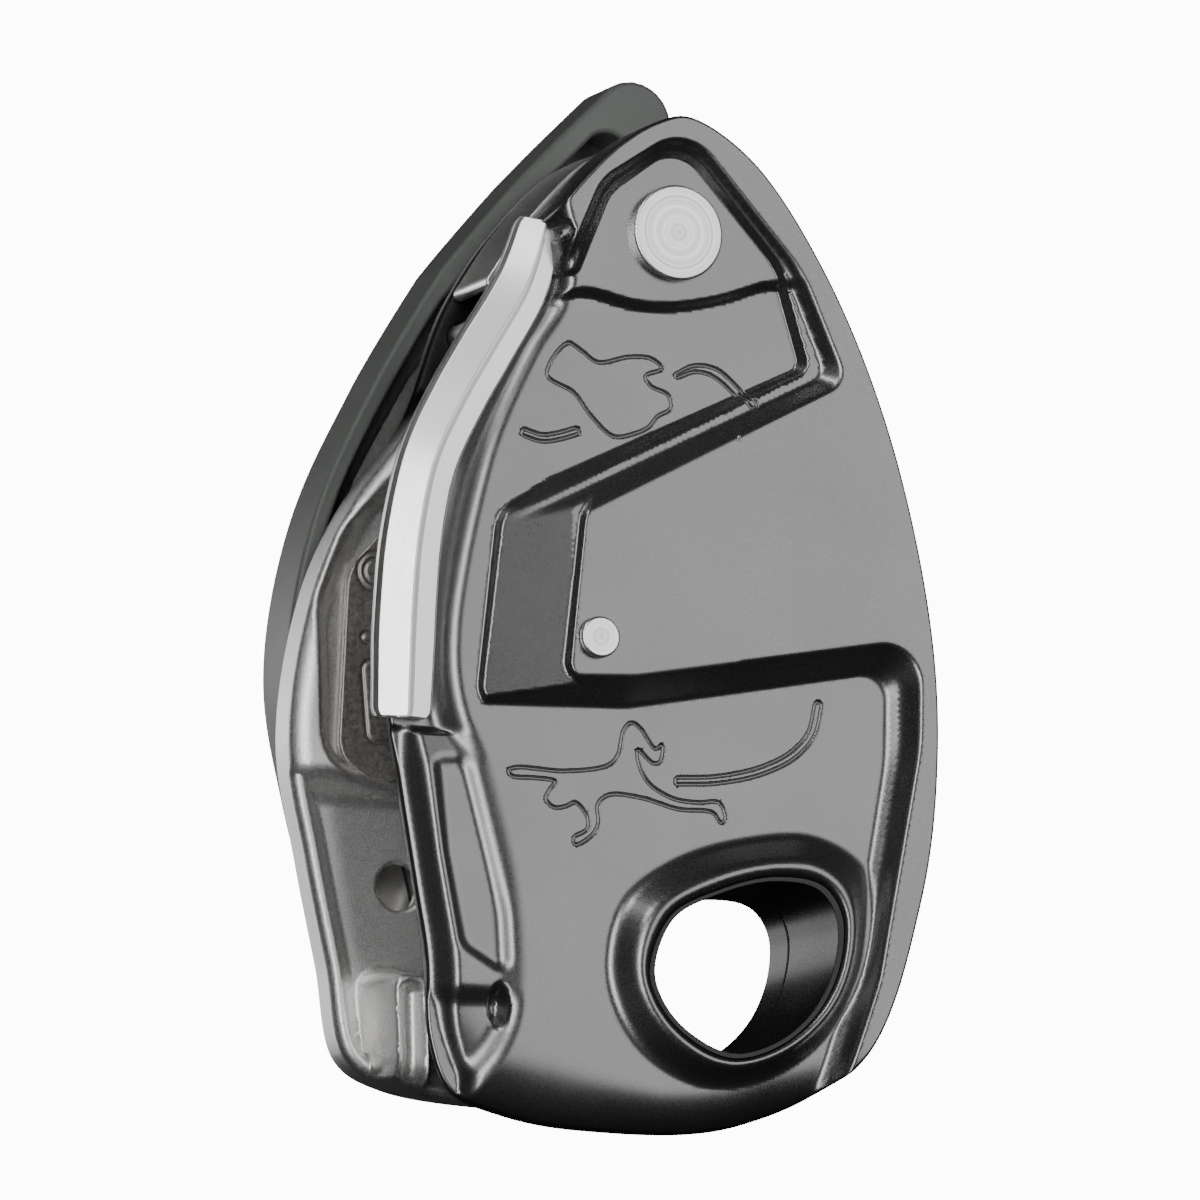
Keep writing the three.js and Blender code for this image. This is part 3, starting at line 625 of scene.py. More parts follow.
# Every axis runs along Y through a place in X and Z.
pivot, camAxis, foldAxis = (-8.2, 85.9), (-18.0, 37.0), (-32.4, -5.0)
knobAxis, rivetAxis = (6.0, 30.0), (-18.9, 37.3)
plateShape = {
    "rim": -13.0, "floor": -9.8, "back": -5.8, "spacing": 0.42,
    "edge": [[-7.2, 99.6], [0.8, 95.1], [10, 82.8], [18.2, 64.6], [23.6, 42.4], [24.6, 26],
             [22.4, 8.7], [14.9, -10.4], [0.8, -18.2], [-18, -19.3], [-28, -18], [-34.6, -15.4],
             [-37.2, -9.5], [-37.9, 0.5], [-39.2, 8], [-41.4, 20.7], [-43, 31], [-43.2, 41],
             [-42.2, 50], [-40, 59], [-35.8, 67.7], [-32.7, 73.4], [-28.2, 81.2], [-23.2, 88.2],
             [-16.4, 95.4], [-11, 98.8]],
    "eye": [[-11.3, -0.7], [-8.9, 5.2], [-3.2, 8.3], [3.7, 10.1], [9.4, 9.4], [11.7, 6.3],
            [11.5, 0.9], [8.9, -4.5], [4.2, -8.5], [-1.6, -10.1], [-7.1, -7.8], [-10.3, -4.3]],
    "collar": [[-13.5, 0.5], [-11.4, 6], [-5.6, 9.7], [1.8, 12], [8.8, 12.2], [13, 8.8], [13.6, 3],
               [11.6, -3.6], [6.6, -8.6], [0.6, -11.2], [-4.6, -11.2], [-9.6, -8], [-12.6, -3.6]],
    "collarFoot": [[-16, 1.2], [-14, 7.4], [-8, 12.1], [0.6, 15], [10.2, 15.8], [16.4, 12.4],
                   [17, 4.6], [14, -3.2], [8.6, -9.4], [1.2, -13], [-5.8, -13.2], [-12, -9.8],
                   [-15.4, -4.4]],
    "upperRim": [[-7.6, 98.5, 5.5], [7.2, 82.2, 15], [13, 69.4, 2.6], [-60, 30.7, 2],
                 [-60, 80.5, 2], [-23.2, 80.6, 1.5], [-18.4, 91.4, 6]],
    "upperTerrace": [[-7.7, 97.5, 5.2], [5.9, 82.3, 12], [10.9, 70.3, 2.2], [-60, 34.8, 2],
                     [-60, 79.6, 2], [-22.2, 80.3, 1.5], [-17.6, 90.9, 6]],
    "upperStep": [[-7.8, 97, 4.8], [5.2, 82.7, 10], [8.9, 70.8, 1.8], [-60, 35.4, 2],
                  [-60, 79.4, 2], [-21.9, 80.2, 1.5], [-17.3, 90.8, 6]],
    "upperFloor": [[-7.9, 96.6, 4.5], [4.7, 82.8, 10], [8.2, 71.3, 1.6], [-60, 39, 2],
                   [-60, 78.5, 2], [-20.6, 80, 1.5], [-16.4, 90.2, 6]],
    "lowerRim": [[-14, 33.2, 15], [22.4, 39.6, 4.5], [22.2, 27, 25], [16.8, -1, 18], [6.6, -30, 2],
                 [-60, -31, 2], [-60, 31, 2]],
    "lowerTerrace": [[-14, 31, 15], [20.9, 37.2, 3.8], [20.7, 26, 25], [15.9, -0.7, 18],
                     [5.7, -30, 2], [-60, -30.6, 2], [-60, 29.5, 2]],
    "lowerFloor": [[-14, 29.9, 15], [19.2, 36, 3], [19, 25, 25], [14.6, -0.2, 18], [4.6, -30, 2],
                   [-60, -30, 2], [-60, 28.6, 2]],
    "ramp": [[-30.4, 51.8, 4], [-33, 29.2, 3], [30, 12, 1], [30, 90, 1]],
    "plateau": [[-20.8, 52, 4.5], [-22.9, 32.8, 2.4], [0, 24, 1], [0, 78, 1]],
    "pad": [[-32, 74.6], [-22.2, 77], [-20.2, 77.7], [-17.7, 77.6], [-15.1, 77], [-11.6, 76.6],
            [-7.6, 76.9], [-2.5, 78], [1, 79.2], [3.5, 80.1], [9, 81.2], [20, 96], [0, 112],
            [-30, 104]],
    "face": [[-24, 96], [-23.6, 87.6], [-22.3, 83.6], [-21.9, 80.4], [-22.6, 76.6], [-25.9, 71.4],
             [-30.9, 60.8], [-33.2, 53], [-34.9, 45.2], [-35.9, 38.4], [-35.9, 32.6],
             [-34.7, 27.3], [-32.4, 22.8], [-30.4, 16.3], [-28.6, 9.1], [-27.8, 1.9], [-27.8, -3],
             [-28.4, -7.6], [-30.4, -11.6], [-34, -16.5], [-36, -40], [60, -40], [60, 130],
             [-24, 130]],
    "panel": [[-37.7, 22.6, 1.2], [-33.4, 23, 2], [-28.6, 5, 8], [-28.2, -2.4, 1.4],
              [-34.4, 1.2, 3], [-36.6, 12, 8]],
    "hollow": [[-21.2, 34.4, 1.5], [-8, 34.8, 2], [14, 38.8, 3], [8, 58, 3], [-14, 52, 3],
               [-21.2, 47, 2]],
    "finger": (-29.6, -5.4), "notch": (-22.9, 85.0),
    # Each ramp is where it starts, where it ends and how widely its two corners are rounded.
    "ramps": {
        "ramp": (0.0, 0.5, 0.4), "plateau": (0.0, 0.5, 0.4), "pad": (0.0, 1.0, 0.6),
        "panel": (-0.5, 0.9, 1.0), "hollow": (-0.4, 2.6, 1.4), "seat": (25.7, 26.5, 0.4),
        "chamfer": (21.6, 26.2, 1.0), "flange": (0.2, 2.8, 1.2), "low": (3.4, 5.4, 1.2),
        "finger": (-1.2, -0.5, 0.4), "notch": (-1.1, -0.6, 0.3), "bottom": (4.0, 13.0, 3.0),
        "bottomLeft": (-16.0, -4.0, 3.0),
    },
    # Each wall rises to the outline named first from the one beside it, rounded over a width.
    "walls": {
        "upperRim": ("upperTerrace", 0.7), "upperStep": ("upperFloor", 0.5),
        "lowerRim": ("lowerTerrace", 0.8), "lowerTerrace": ("lowerFloor", 0.9),
        "collarFoot": ("collar", 1.6),
    },
    # Where a change starts along X, and how wide it is.
    "spread": {"slope": (-32.8, 11.0), "low": (-24.0, 2.0), "bottom": (-10.0, 14.0)},
    "depth": {
        "terrace": (0.55, 0.65), "ramp": (0.2, 0.5), "plateau": 0.3, "pad": 0.30,
        "collarTop": -12.6, "lip": 0.9, "lipWidth": 1.4, "seat": 2.7, "flange": (0.5, 2.8),
        "chamfer": 1.0, "panel": 0.65, "low": 0.9, "finger": 1.3, "notch": 2.0, "bottom": 3.3,
        "bottomWidth": (5.6, 2.6), "hollow": 4.6, "edge": 0.9, "plainAbove": 66.0,
        "plainRight": -1.0, "padAbove": 70.0, "fingerStretch": 2.2,
    },
}
hand = [[-24, 68.3], [-21.4, 72.2], [-19.6, 71.4], [-17.6, 70.2], [-13.6, 71.1], [-10.8, 71.1],
        [-9.4, 70], [-11.5, 69], [-10.9, 67.9], [-8.6, 66.9], [-8.3, 65.4], [-10, 64.3],
        [-11.1, 63], [-12.9, 62.1], [-15.6, 61.6], [-18.4, 63.8], [-20.6, 66.4]]
climber = [[-28.8, 21.7], [-27.8, 22.1], [-21.6, 22], [-16.2, 23], [-15, 24.3], [-14.3, 27.2],
           [-13.3, 28.1], [-12.2, 27.5], [-10.3, 25.2], [-9.4, 25.7], [-9.7, 23.7], [-10.6, 23.5],
           [-12.5, 25], [-12.4, 23.4], [-11.2, 21.2], [-8, 19.5], [-4.8, 19.2], [-2.2, 19.3],
           [-1.4, 17.4], [-2, 17], [-3, 18.1], [-7.4, 18.3], [-12.2, 19.4], [-16.2, 19.5],
           [-17.6, 18.3], [-17.5, 16.2], [-18.3, 14.7], [-20.4, 13.5], [-20.6, 14.3],
           [-18.9, 15.4], [-18.9, 16.8], [-20.4, 18.4], [-21.6, 17.9], [-23.1, 17.7],
           [-24.1, 18.6], [-23.6, 19.8], [-22.9, 20.7], [-25.3, 21], [-28.4, 21.1]]
grooveLook = {"half": 0.30, "depth": 0.36, "rows": (-0.34, -0.17, 0.0, 0.17, 0.34)}


def plateGrooves():
    ropes = [bandLoop([[-26.8, 61.3], [-24.6, 60.8], [-22.4, 61.2], [-20.3, 61.9]], [0.4, 0.4]),
             bandLoop([[-7.5, 69.3], [-5.2, 70.3], [-2.7, 70], [-0.2, 68.2], [1.6, 66.3]],
                      [0.25, 0.5, 0.45]),
             bandLoop([[-7.4, 21.6], [-2.4, 22], [3, 23.3], [7.2, 25.4], [9.6, 28],
                       [10.5, 31.4]], [0.4, 0.45])]
    return [evened(smoothCurve(hand), 0.3), evened(smoothCurve(climber), 0.3),
            *[evened(rope, 0.3) for rope in ropes]]


# Steps along and between the rows, how far they keep from a groove, and how far out they go.
rowLook = {"step": 0.4, "cell": 0.22, "clear": 0.5, "reach": 50.0, "near": 0.24,
           "flange": (-0.8, -1.15, -1.5, -2.1, -2.7, -3.3), "flangeRight": -25, "flangeTop": 27}


# Rows of points that follow each crease and groove, so that the mesh keeps them sharp.
def creaseRows(lines, creases):
    rows = [line + outwardOf(line) * offset for line in lines
            for offset in grooveLook["rows"]]
    folds = np.vstack([evened(line + outwardOf(line) * offset, rowLook["step"])
                       for line, offsets in creases for offset in offsets])
    folds = folds[np.abs(folds[:, 0]) < rowLook["reach"]]
    folds = folds[grooveGap(folds) > rowLook["clear"]] if lines else folds
    first = np.unique(np.round(folds / rowLook["cell"]), axis=0, return_index=True)[1]
    return np.vstack([*rows, folds[np.sort(first)]])


shape = plateShape
plateEdge = evened(smoothCurve(shape["edge"]), 0.5)
eyeEdge = evened(smoothCurve(shape["eye"]), 0.4)
eyeMiddle = np.array([-0.4, 0.2])
linerEdge, linerOutside, boss = ((eyeEdge - eyeMiddle) * grow + eyeMiddle
                                 for grow in (1.07, 1.065, 1.28))
loops = {name: corner(shape[name], 10) for name in (
    "upperRim", "upperTerrace", "upperStep", "upperFloor", "lowerRim", "lowerTerrace",
    "lowerFloor", "ramp", "plateau", "panel", "hollow")}
loops.update({name: evened(smoothCurve(shape[name]), 1.0) for name in (
    "collar", "collarFoot", "pad", "face", "edge")})
grooves = plateGrooves()
creases = [(loops[name], (0.0,)) for name in ("upperTerrace", "upperStep", "lowerTerrace", "pad")]
creases += [(evened(loops[name], 0.6), (0.3, 0.0, -0.3)) for name in (
    "upperRim", "upperFloor", "lowerRim", "lowerFloor", "face")]
creases += [(evened(loops[name], 0.5), (0.15, -0.12, -0.38, -0.65)) for name in (
    "ramp", "plateau", "panel")]
# Rows along the flange, where its front falls away from the strip's seat.
flangeRows = np.vstack([plateEdge + outwardOf(plateEdge) * offset
                        for offset in rowLook["flange"]])
flangeRows = flangeRows[(flangeRows[:, 0] < rowLook["flangeRight"])
                        & (flangeRows[:, 1] < rowLook["flangeTop"])]


# The plate's front: a floor with the rim, plateau, ramp, pad and eye collar standing on it,
# a fall to the strip's seat at the left, and a wide bend along the bottom.
def plateFront(points):
    depth, ramps = shape["depth"], shape["ramps"]
    x, z = points[:, 0], points[:, 1]
    inside = -signedDistance(points, loops["edge"])

    def within(name):
        return rampInside(points, loops[name], ramps[name])

    def wall(name):
        low, rounding = shape["walls"][name]
        return wallShare(points, loops[low], loops[name], rounding)

    def across(name, sign=1):
        start, width = shape["spread"][name]
        return np.clip(sign * (x - start) / width, 0, 1)

    upper, lower = depth["terrace"]
    raised = np.minimum(upper * wall("upperRim") + (1 - upper) * wall("upperStep"),
                        lower * wall("lowerRim") + (1 - lower) * wall("lowerTerrace"))
    slope = depth["ramp"][0] + depth["ramp"][1] * across("slope")
    plain = (z > depth["plainAbove"]) | (x > depth["plainRight"])
    limit = np.where(plain, 1.2, within("ramp") * slope + depth["plateau"] * within("plateau"))
    raised = softMinimum(raised, limit, 0.001 + 0.10 * np.clip(5 * raised, 0, 1))
    raised = raised + depth["pad"] * within("pad") * (1 - raised) * (z > depth["padAbove"])
    y = shape["floor"] + (shape["rim"] - shape["floor"]) * raised
    y = y + (depth["collarTop"] - y) * (1 - wall("collarFoot"))
    lip = (1 - signedDistance(points, linerEdge) / depth["lipWidth"]).clip(0, 1)
    y = y + depth["lip"] * quarterRound(lip)
    seat = easedRamp(z, *ramps["seat"])
    panel = within("panel")
    start, fall = depth["flange"]
    flange = (start + fall * (1 - easedRamp(inside, *ramps["flange"]))
              + depth["chamfer"] * easedRamp(z, *ramps["chamfer"]) + depth["panel"] * panel)
    low = easedRamp(-z, *ramps["low"]) * across("low", -1)
    flange = flange + depth["low"] * low * (1 - panel)
    side = shape["floor"] + flange + (depth["seat"] - flange) * seat
    away = signedDistance(points, loops["face"])
    y = y + (side - y) * easedRamp(away, -0.5, 1.5 + 0.8 * seat, 1.9)
    for name, stretch in (("finger", depth["fingerStretch"]), ("notch", 1.0)):
        reach = np.hypot(x - shape[name][0], (z - shape[name][1]) / stretch)
        y = y + depth[name] * easedRamp(-reach, *ramps[name])
    bend = easedRamp(-z, *ramps["bottom"]) * easedRamp(-x, *ramps["bottomLeft"])
    wide = depth["bottomWidth"][0] + depth["bottomWidth"][1] * across("bottom", -1)
    y = y + depth["bottom"] * bend * quarterRound(np.clip((wide - inside) / wide, 0, 1))
    near = np.clip(grooveGap(points) / grooveLook["half"], 0, 1)
    y = y + grooveLook["depth"] * 0.5 * (1 + np.cos(np.pi * near))
    return softMinimum(y, shape["back"] - depth["edge"], depth["edge"])


# The gap to the nearest groove, worked out only near each one.
def grooveGap(points):
    result = np.full(len(points), 9.0)
    for line in grooves:
        low, high = line.min(0) - 0.6, line.max(0) + 0.6
        near = np.all((points > low) & (points < high), 1)
        if near.any():
            result[near] = np.minimum(result[near], distanceTo(points[near], line))
    return result


def plateBack(points):
    hollow = rampInside(points, loops["hollow"], shape["ramps"]["hollow"])
    return shape["back"] - shape["depth"]["hollow"] * hollow


addPlate("swingingPlate", plateEdge, plateFront, plateBack, "swinging_side",
         anodised, ["moving_side_plate"],
         holes=[linerEdge, circle(*pivot, 4.1), circle(*rivetAxis, 1.7, 32)],
         rounding=0.45, grid=shape["spacing"], backGrid=0.6,
         extra=(rowLook["near"], [*grooves, *[line for line, offsets in creases]],
                np.vstack([creaseRows(grooves, creases), flangeRows])))
addPlate("eyeSleeve", boss, level(-6.2), level(1.8), "swinging_side", anodised,
         holes=[linerEdge])
addPlate("frontEyeLiner", linerOutside, level(-12.0), level(1.75), "swinging_side",
         darkLiner, ["front_eye_bush"], holes=[eyeEdge], rounding=0.12, backRounding=0.12)
print("swinging plate made")


# Wear strip, axle and rivet on the swinging side.

stripLook = {
    "path": [[-24.2, 86.4], [-26.8, 78.6], [-31.3, 70.9], [-34.8, 64.9], [-38.3, 57.5],
             [-40.2, 49], [-41, 40.6], [-41.5, 27.4]],
    "halves": [2.7, 3.3, 3.45, 3.45, 3.45, 3.6, 3.65, 3.4],
    "profile": [[-0.97, -6.6, 0.05], [-1, -7.7, 0.14], [-0.86, -8.25, 0.08], [0.04, -9.9, 0.10],
                [0.24, -9.72, 0.10], [0.97, -9.35, 0.12], [0.97, -7.6, 0.03]],
    "half": 3.4, "step": 0.5, "ending": 4.5, "middle": -7.2, "shrink": 0.25, "drop": 0.30,
    "rounding": 0.75,
}


# The profile is carried along the path. It shrinks a little at both ends, and its right side
# is rounded away over the first few millimetres.
def addStrip(look):
    line, along, side, half = followed(look["path"], look["halves"], look["step"])
    gone = np.arange(len(line)) * look["step"]
    fromEnd = np.minimum(gone, gone[::-1])
    taper = np.sqrt(np.clip(1 - (1 - fromEnd).clip(0, 1)**2 * look["shrink"], 0, 1))
    profile, outward = roundedCorners(
        [[c[0] * look["half"], c[1], c[2] * look["half"]] for c in look["profile"]], 5)
    across = profile[:, 0] / look["half"]
    y = profile[:, 1] + look["drop"] * (1 - taper)[:, None] * (look["middle"] - profile[:, 1])
    ending = np.clip(1 - gone / look["ending"], 0, 1)[:, None]
    rightEnd = np.where(across[None] > 0, np.sqrt(1 - look["rounding"] * ending**2), 1.0)
    reach = across[None] * half * taper[:, None] * rightEnd
    place = line[:, None] + side[:, None] * reach[:, :, None]
    flat = side[:, None] * outward[None, :, :1]
    normal = np.stack([flat[:, :, 0], np.repeat(outward[None, :, 1], len(line), 0),
                       flat[:, :, 1]], 2)
    vertices = np.stack([place[:, :, 0], y, place[:, :, 1]], 2)
    rows, size = y.shape
    ids = np.arange(rows * size).reshape(rows, size)
    quads = np.stack([ids[:-1], np.roll(ids[:-1], -1, 1), np.roll(ids[1:], -1, 1), ids[1:]], 2)
    faces = quads.reshape(-1, 4).tolist()
    faces.append(ids[0][::-1].tolist())
    faces.append(ids[-1].tolist())
    addMesh("wearStrip", vertices.reshape(-1, 3), faces, normal.reshape(-1, 3),
            "swinging_side", polished, ["wear_strip"])


addStrip(stripLook)
axleMetal = lathedMaterial("axleMetal", lathe, pivot)
addTurned("axle", pivot, [[0, -11.95, 0], [5.65, -11.95, 0.35], [5.65, -10.5, 0.2],
                          [4, -10.5, 0.1], [4, 5.9, 0.1], [6, 5.9, 0.1], [6, 7.25, 0.4],
                          [0, 7.25, 0]], "frame", axleMetal, ["side_plate_axle"])
addTurned("catchRivet", rivetAxis, [[0, -13.9, 0], [2.4, -13.9, 0.3], [2.4, -13, 0.15],
                                    [1.6, -13, 0.05], [1.6, -6, 0.1], [0, -6, 0]],
          "swinging_side", lathedMaterial("rivetMetal", lathe, rivetAxis),
          ["catch_rivet"], sides=64)
print("strip, axle and rivet made")


# Fixed side plate.

fixedShape = {
    "front": 5.2, "back": 7.5,
    "edge": [[-7.2, 98.4], [0.4, 94.2], [9.4, 82.2], [17.4, 64.2], [22.6, 42.4], [23.6, 26],
             [21.4, 8.7], [14, -8.6], [0.8, -15.8], [-18, -16], [-38, -14.2], [-43.6, -11],
             [-46, 0], [-48.6, 12], [-51, 26], [-48.4, 42.5], [-43.8, 53], [-36, 64], [-30.6, 78],
             [-24, 88], [-15.6, 96]],
    "thick": [[-70, 20.4, 3], [-30, 18.6, 3], [-30, 62, 3], [-36, 70, 4], [-70, 70, 3]],
    "opening": [[-37, 56.5, 3], [-43, 50, 6], [-46.2, 42, 8], [-45.6, 23.6, 4.5], [-20, 17.6, 2],
                [-20, 56, 2]],
    "rib": [[-41.2, -0.6, 2.2], [-35, -0.6, 2], [-34.2, -24, 1], [-40, -24, 1]],
    "ribHollow": [[-39.6, -2.6, 1.4], [-36.6, -2.6, 1.2], [-36, -24, 0.6], [-38.6, -24, 0.6]],
    "eyeFoot": [[-14.6, 0, 4], [-9, 9, 4], [8, 14, 4], [15.4, 9, 4], [13, -5, 4], [2, -13.6, 4],
                [-8, -11.6, 4]],
    "wallHeight": 3.6, "lipHeight": 2.9, "ribHeight": 8.6, "ribDip": 1.6, "bend": 3.3,
    "bendDepth": 2.5, "backCut": 0.5,
    "ramps": {
        "thick": (0.0, 2.6, 2.4), "opening": (-0.2, 1.5, 1.2), "rib": (-0.2, 1.0, 0.9),
        "ribHollow": (-0.2, 0.8, 0.8), "left": (27.0, 31.0, 2.0), "lip": (1.3, 3.0, 1.6),
        "lipTop": (-66.0, -60.0, 2.0), "backEdge": (2.4, 4.6, 1.6), "backBoss": (8.4, 10.2, 1.2),
        "eyeFoot": (0.0, 1.8, 1.2),
    },
}
fixedLoops = {name: corner(fixedShape[name]) for name in (
    "thick", "opening", "rib", "ribHollow", "eyeFoot")}
fixedLoops["edge"] = evened(smoothCurve(fixedShape["edge"]), 1.2)


# The channel side of the cast plate: a thick rounded wall at the left with an opening for the
# wear panel, a lip below it, and an arched rib at the bottom.
def fixedFront(points):
    look, ramps = fixedShape, fixedShape["ramps"]
    x, z = points[:, 0], points[:, 1]

    inside = -signedDistance(points, fixedLoops["edge"])
    left = easedRamp(-x, *ramps["left"])
    thick, rib, ribHollow = (rampInside(points, fixedLoops[name], ramps[name])
                             for name in ("thick", "rib", "ribHollow"))
    opening = easedRamp(signedDistance(points, fixedLoops["opening"]), *ramps["opening"])
    wall = look["wallHeight"] * thick * opening
    lip = (look["lipHeight"] * (1 - easedRamp(inside, *ramps["lip"])) * left
           * easedRamp(-z, *ramps["lipTop"]))
    arch = look["ribHeight"] * rib - look["ribDip"] * ribHollow
    rise = np.maximum(np.maximum(wall, lip), arch)
    bend = quarterRound(np.clip((look["bend"] - inside) / look["bend"], 0, 1))
    return look["front"] - rise + look["bendDepth"] * left * np.clip(rise / 3, 0.25, 1) * bend


# The back is sunk a little between its edge, the axle's boss and the eye's boss.
def fixedBack(points):
    ramps = fixedShape["ramps"]
    inside = -signedDistance(points, fixedLoops["edge"])
    eye = easedRamp(signedDistance(points, fixedLoops["eyeFoot"]), *ramps["eyeFoot"])
    cut = (easedRamp(inside, *ramps["backEdge"])
           * easedRamp(reachFrom(pivot, points), *ramps["backBoss"]) * eye)
    return fixedShape["back"] - fixedShape["backCut"] * cut


fixedEdge = evened(smoothCurve(fixedShape["edge"]), 0.6)
fixedCreases = [(evened(fixedLoops["rib"], 0.5), (0.6, 0.2, -0.2, -0.6, -1.0, -1.4)),
                (evened(fixedLoops["ribHollow"], 0.4), (0.2, -0.2, -0.6)),
                (evened(fixedLoops["opening"], 0.5), (-0.2, 0.3, 0.8, 1.3, 1.8)),
                (evened(fixedLoops["thick"], 0.5), (0.6, 0.0, -0.6, -1.2, -1.8, -2.4, -3.0))]
addPlate("fixedPlate", fixedEdge, fixedFront, fixedBack, "frame", castMetal,
         ["fixed_side_plate"],
         holes=[linerEdge, circle(*pivot, 5.9), circle(*camAxis, 5.7), circle(*knobAxis, 3.1),
                circle(-18.2, 88.6, 1.55, 32), circle(-28.6, 74.8, 1.55, 32),
                circle(-6.0, 34.0, 1.6, 32), circle(-36.2, 9.5, 2.8, 48)],
         rounding=0.5, backRounding=0.5, grid=0.5, backGrid=0.55,
         extra=(rowLook["near"], [line for line, offsets in fixedCreases],
                creaseRows([], fixedCreases)))
addPlate("rearEyeSleeve", boss, level(2.15), level(5.4), "frame", blasted,
         holes=[linerEdge])
addPlate("rearEyeLiner", linerOutside, level(2.15), level(7.45), "frame",
         darkLiner, ["rear_eye_bush"], holes=[eyeEdge], rounding=0.12, backRounding=0.12)
panelLook = {"front": 4.2, "back": 4.95, "markHalf": 0.36, "markDepth": 0.24, "near": 0.4}
panelEdge = evened(corner([[-36.6, 54, 2], [-33.6, 44, 2], [-36.4, 19, 3], [-44.3, 24.2, 4],
                           [-43.2, 46, 6]]), 0.4)
panelMarks = [circle(-39.6, 46.2, 1.5, 24), circle(-39.6, 46.2, 2.3, 32),
              evened(bandLoop([[-38.6, 38.4], [-40.8, 38.4]], [0.6, 0.6], 0.3), 0.3),
              evened(corner([[-41.4, 35.4, 1.2], [-37, 36.6, 0.6], [-36.4, 26.4, 0.6],
                             [-40.6, 26, 1.2]]), 0.3)]


# Each mark is a groove whose section is one wave of a cosine.
def panelFront(points):
    near = np.min([distanceTo(points, mark) for mark in panelMarks], 0)
    wave = 1 + np.cos(np.pi * np.clip(near / panelLook["markHalf"], 0, 1))
    return panelLook["front"] + panelLook["markDepth"] * 0.5 * wave


addPlate("wearPanel", panelEdge, panelFront, level(panelLook["back"]), "frame",
         insetMetal, ["side_panel"], rounding=0.3, backRounding=0.1, grid=0.3,
         extra=(panelLook["near"], panelMarks, np.vstack([
             mark + outwardOf(mark) * offset for mark in panelMarks
             for offset in grooveLook["rows"]])))
print("fixed plate made")


# Handle, and what joins it to the device.

handleLook = {
    "path": [[-32.4, -5], [-35.1, 7.4], [-38.9, 22], [-40.9, 34.7], [-37.8, 50.8], [-30.8, 64.9],
             [-21.9, 79.5], [-11.4, 94.6], [-5.2, 102.9]],
    "halves": [7.6, 7.8, 8.0, 8.2, 8.4, 8.8, 8.8, 7.2, 5.0], "wall": 2.2,
    "front": 8.1, "floor": 15.5, "back": 17.5, "cut": (3.7, (-2.2, -0.9, 0.8)),
    "crown": (0.9, (0.4, 2.6, 1.8)),
}
armSweep = corner([[-37.6, -5, 1], [-40.2, 12, 3], [-42, 34, 3], [-39, 52, 3],
                   [-10, 57, 3], [30, 30, 3], [30, -40, 3], [-30, -40, 3]])


# The wall is cut low where the hub's arm sweeps past it.
def handleFront(points):
    depth, ramp = handleLook["cut"]
    return handleLook["front"] + depth * rampInside(points, armSweep, ramp)


# The back falls away towards its edge.
def handleBack(points):
    depth, ramp = handleLook["crown"]
    return handleLook["back"] - depth * (1 - rampInside(points, handleEdge, ramp))


handleEdge = evened(bandLoop(handleLook["path"], handleLook["halves"]), 0.7)
handleHollow = evened(bandLoop([*handleLook["path"][:-1], [-8.6, 98.6]],
                               [half - handleLook["wall"] for half in handleLook["halves"]]), 0.7)
addPlate("handleShell", handleEdge, handleFront, handleBack, "handle",
         handlePlastic, ["handle_shell"], pockets=[(handleHollow, handleLook["floor"])],
         floorHoles=[(circle(*foldAxis, 2.58, 48), handleLook["floor"])],
         rounding=0.7, backRounding=0.9, grid=1.0, backGrid=1.0, steps=5)
addTurned("foldBoss", foldAxis, [[2.58, 13.9, 0.1], [4.8, 13.9, 0.4], [4.8, 15.7, 0.1],
                                 [2.58, 15.7, 0.1]], "handle", handlePlastic,
          sides=64)
armLook = {"thin": 10.0, "rise": 1.1, "ramp": (9.7, 11.0, 0.4)}
hubMetal = lathedMaterial("hubMetal", {
    **lathe, "colour": (0.68, 0.67, 0.65), "roughness": 0.42}, camAxis)


# The arm thins under the clutch, inside the disc's rim.
def armBack(points):
    return armLook["thin"] + armLook["rise"] * easedRamp(reachFrom(camAxis, points),
                                                         *armLook["ramp"])


arm = evened(bandLoop([camAxis, [-24.6, 17], foldAxis], [8, 4.6, 4.6]), 0.5)
addPlate("hubArm", arm, level(8.15), armBack, "hub", steel,
         holes=[circle(*camAxis, 4.3), circle(*foldAxis, 2.58, 40)], backGrid=0.8)
addTurned("hubDisc", camAxis, [[4.08, 8.1, 0.2], [11.6, 8.1, 0.4], [11.6, 12.2, 0.5],
                               [9.2, 12.2, 0.2], [9.2, 10.2, 0.2], [4.08, 10.2, 0.2]],
          "hub", hubMetal, ["handle_hub"])
addTurned("foldPin", foldAxis, [[0, 8.2, 0], [2.5, 8.2, 0.3], [2.5, 17.7, 0.05],
                               [4.2, 17.7, 0.1], [4.2, 18.9, 0.55], [0, 18.9, 0]],
          "hub", lathedMaterial("foldPinMetal", lathe, foldAxis),
          ["fold_pin"], sides=64)
addTurned("foldWasher", foldAxis, [[2.58, 11.3, 0.1], [4.4, 11.3, 0.15],
                                   [4.4, 11.9, 0.15], [2.58, 11.9, 0.1]],
          "hub", polished, ["fold_washer"], sides=64)
print("handle and hub made")


# Cam group, selector and the parts in the channel.

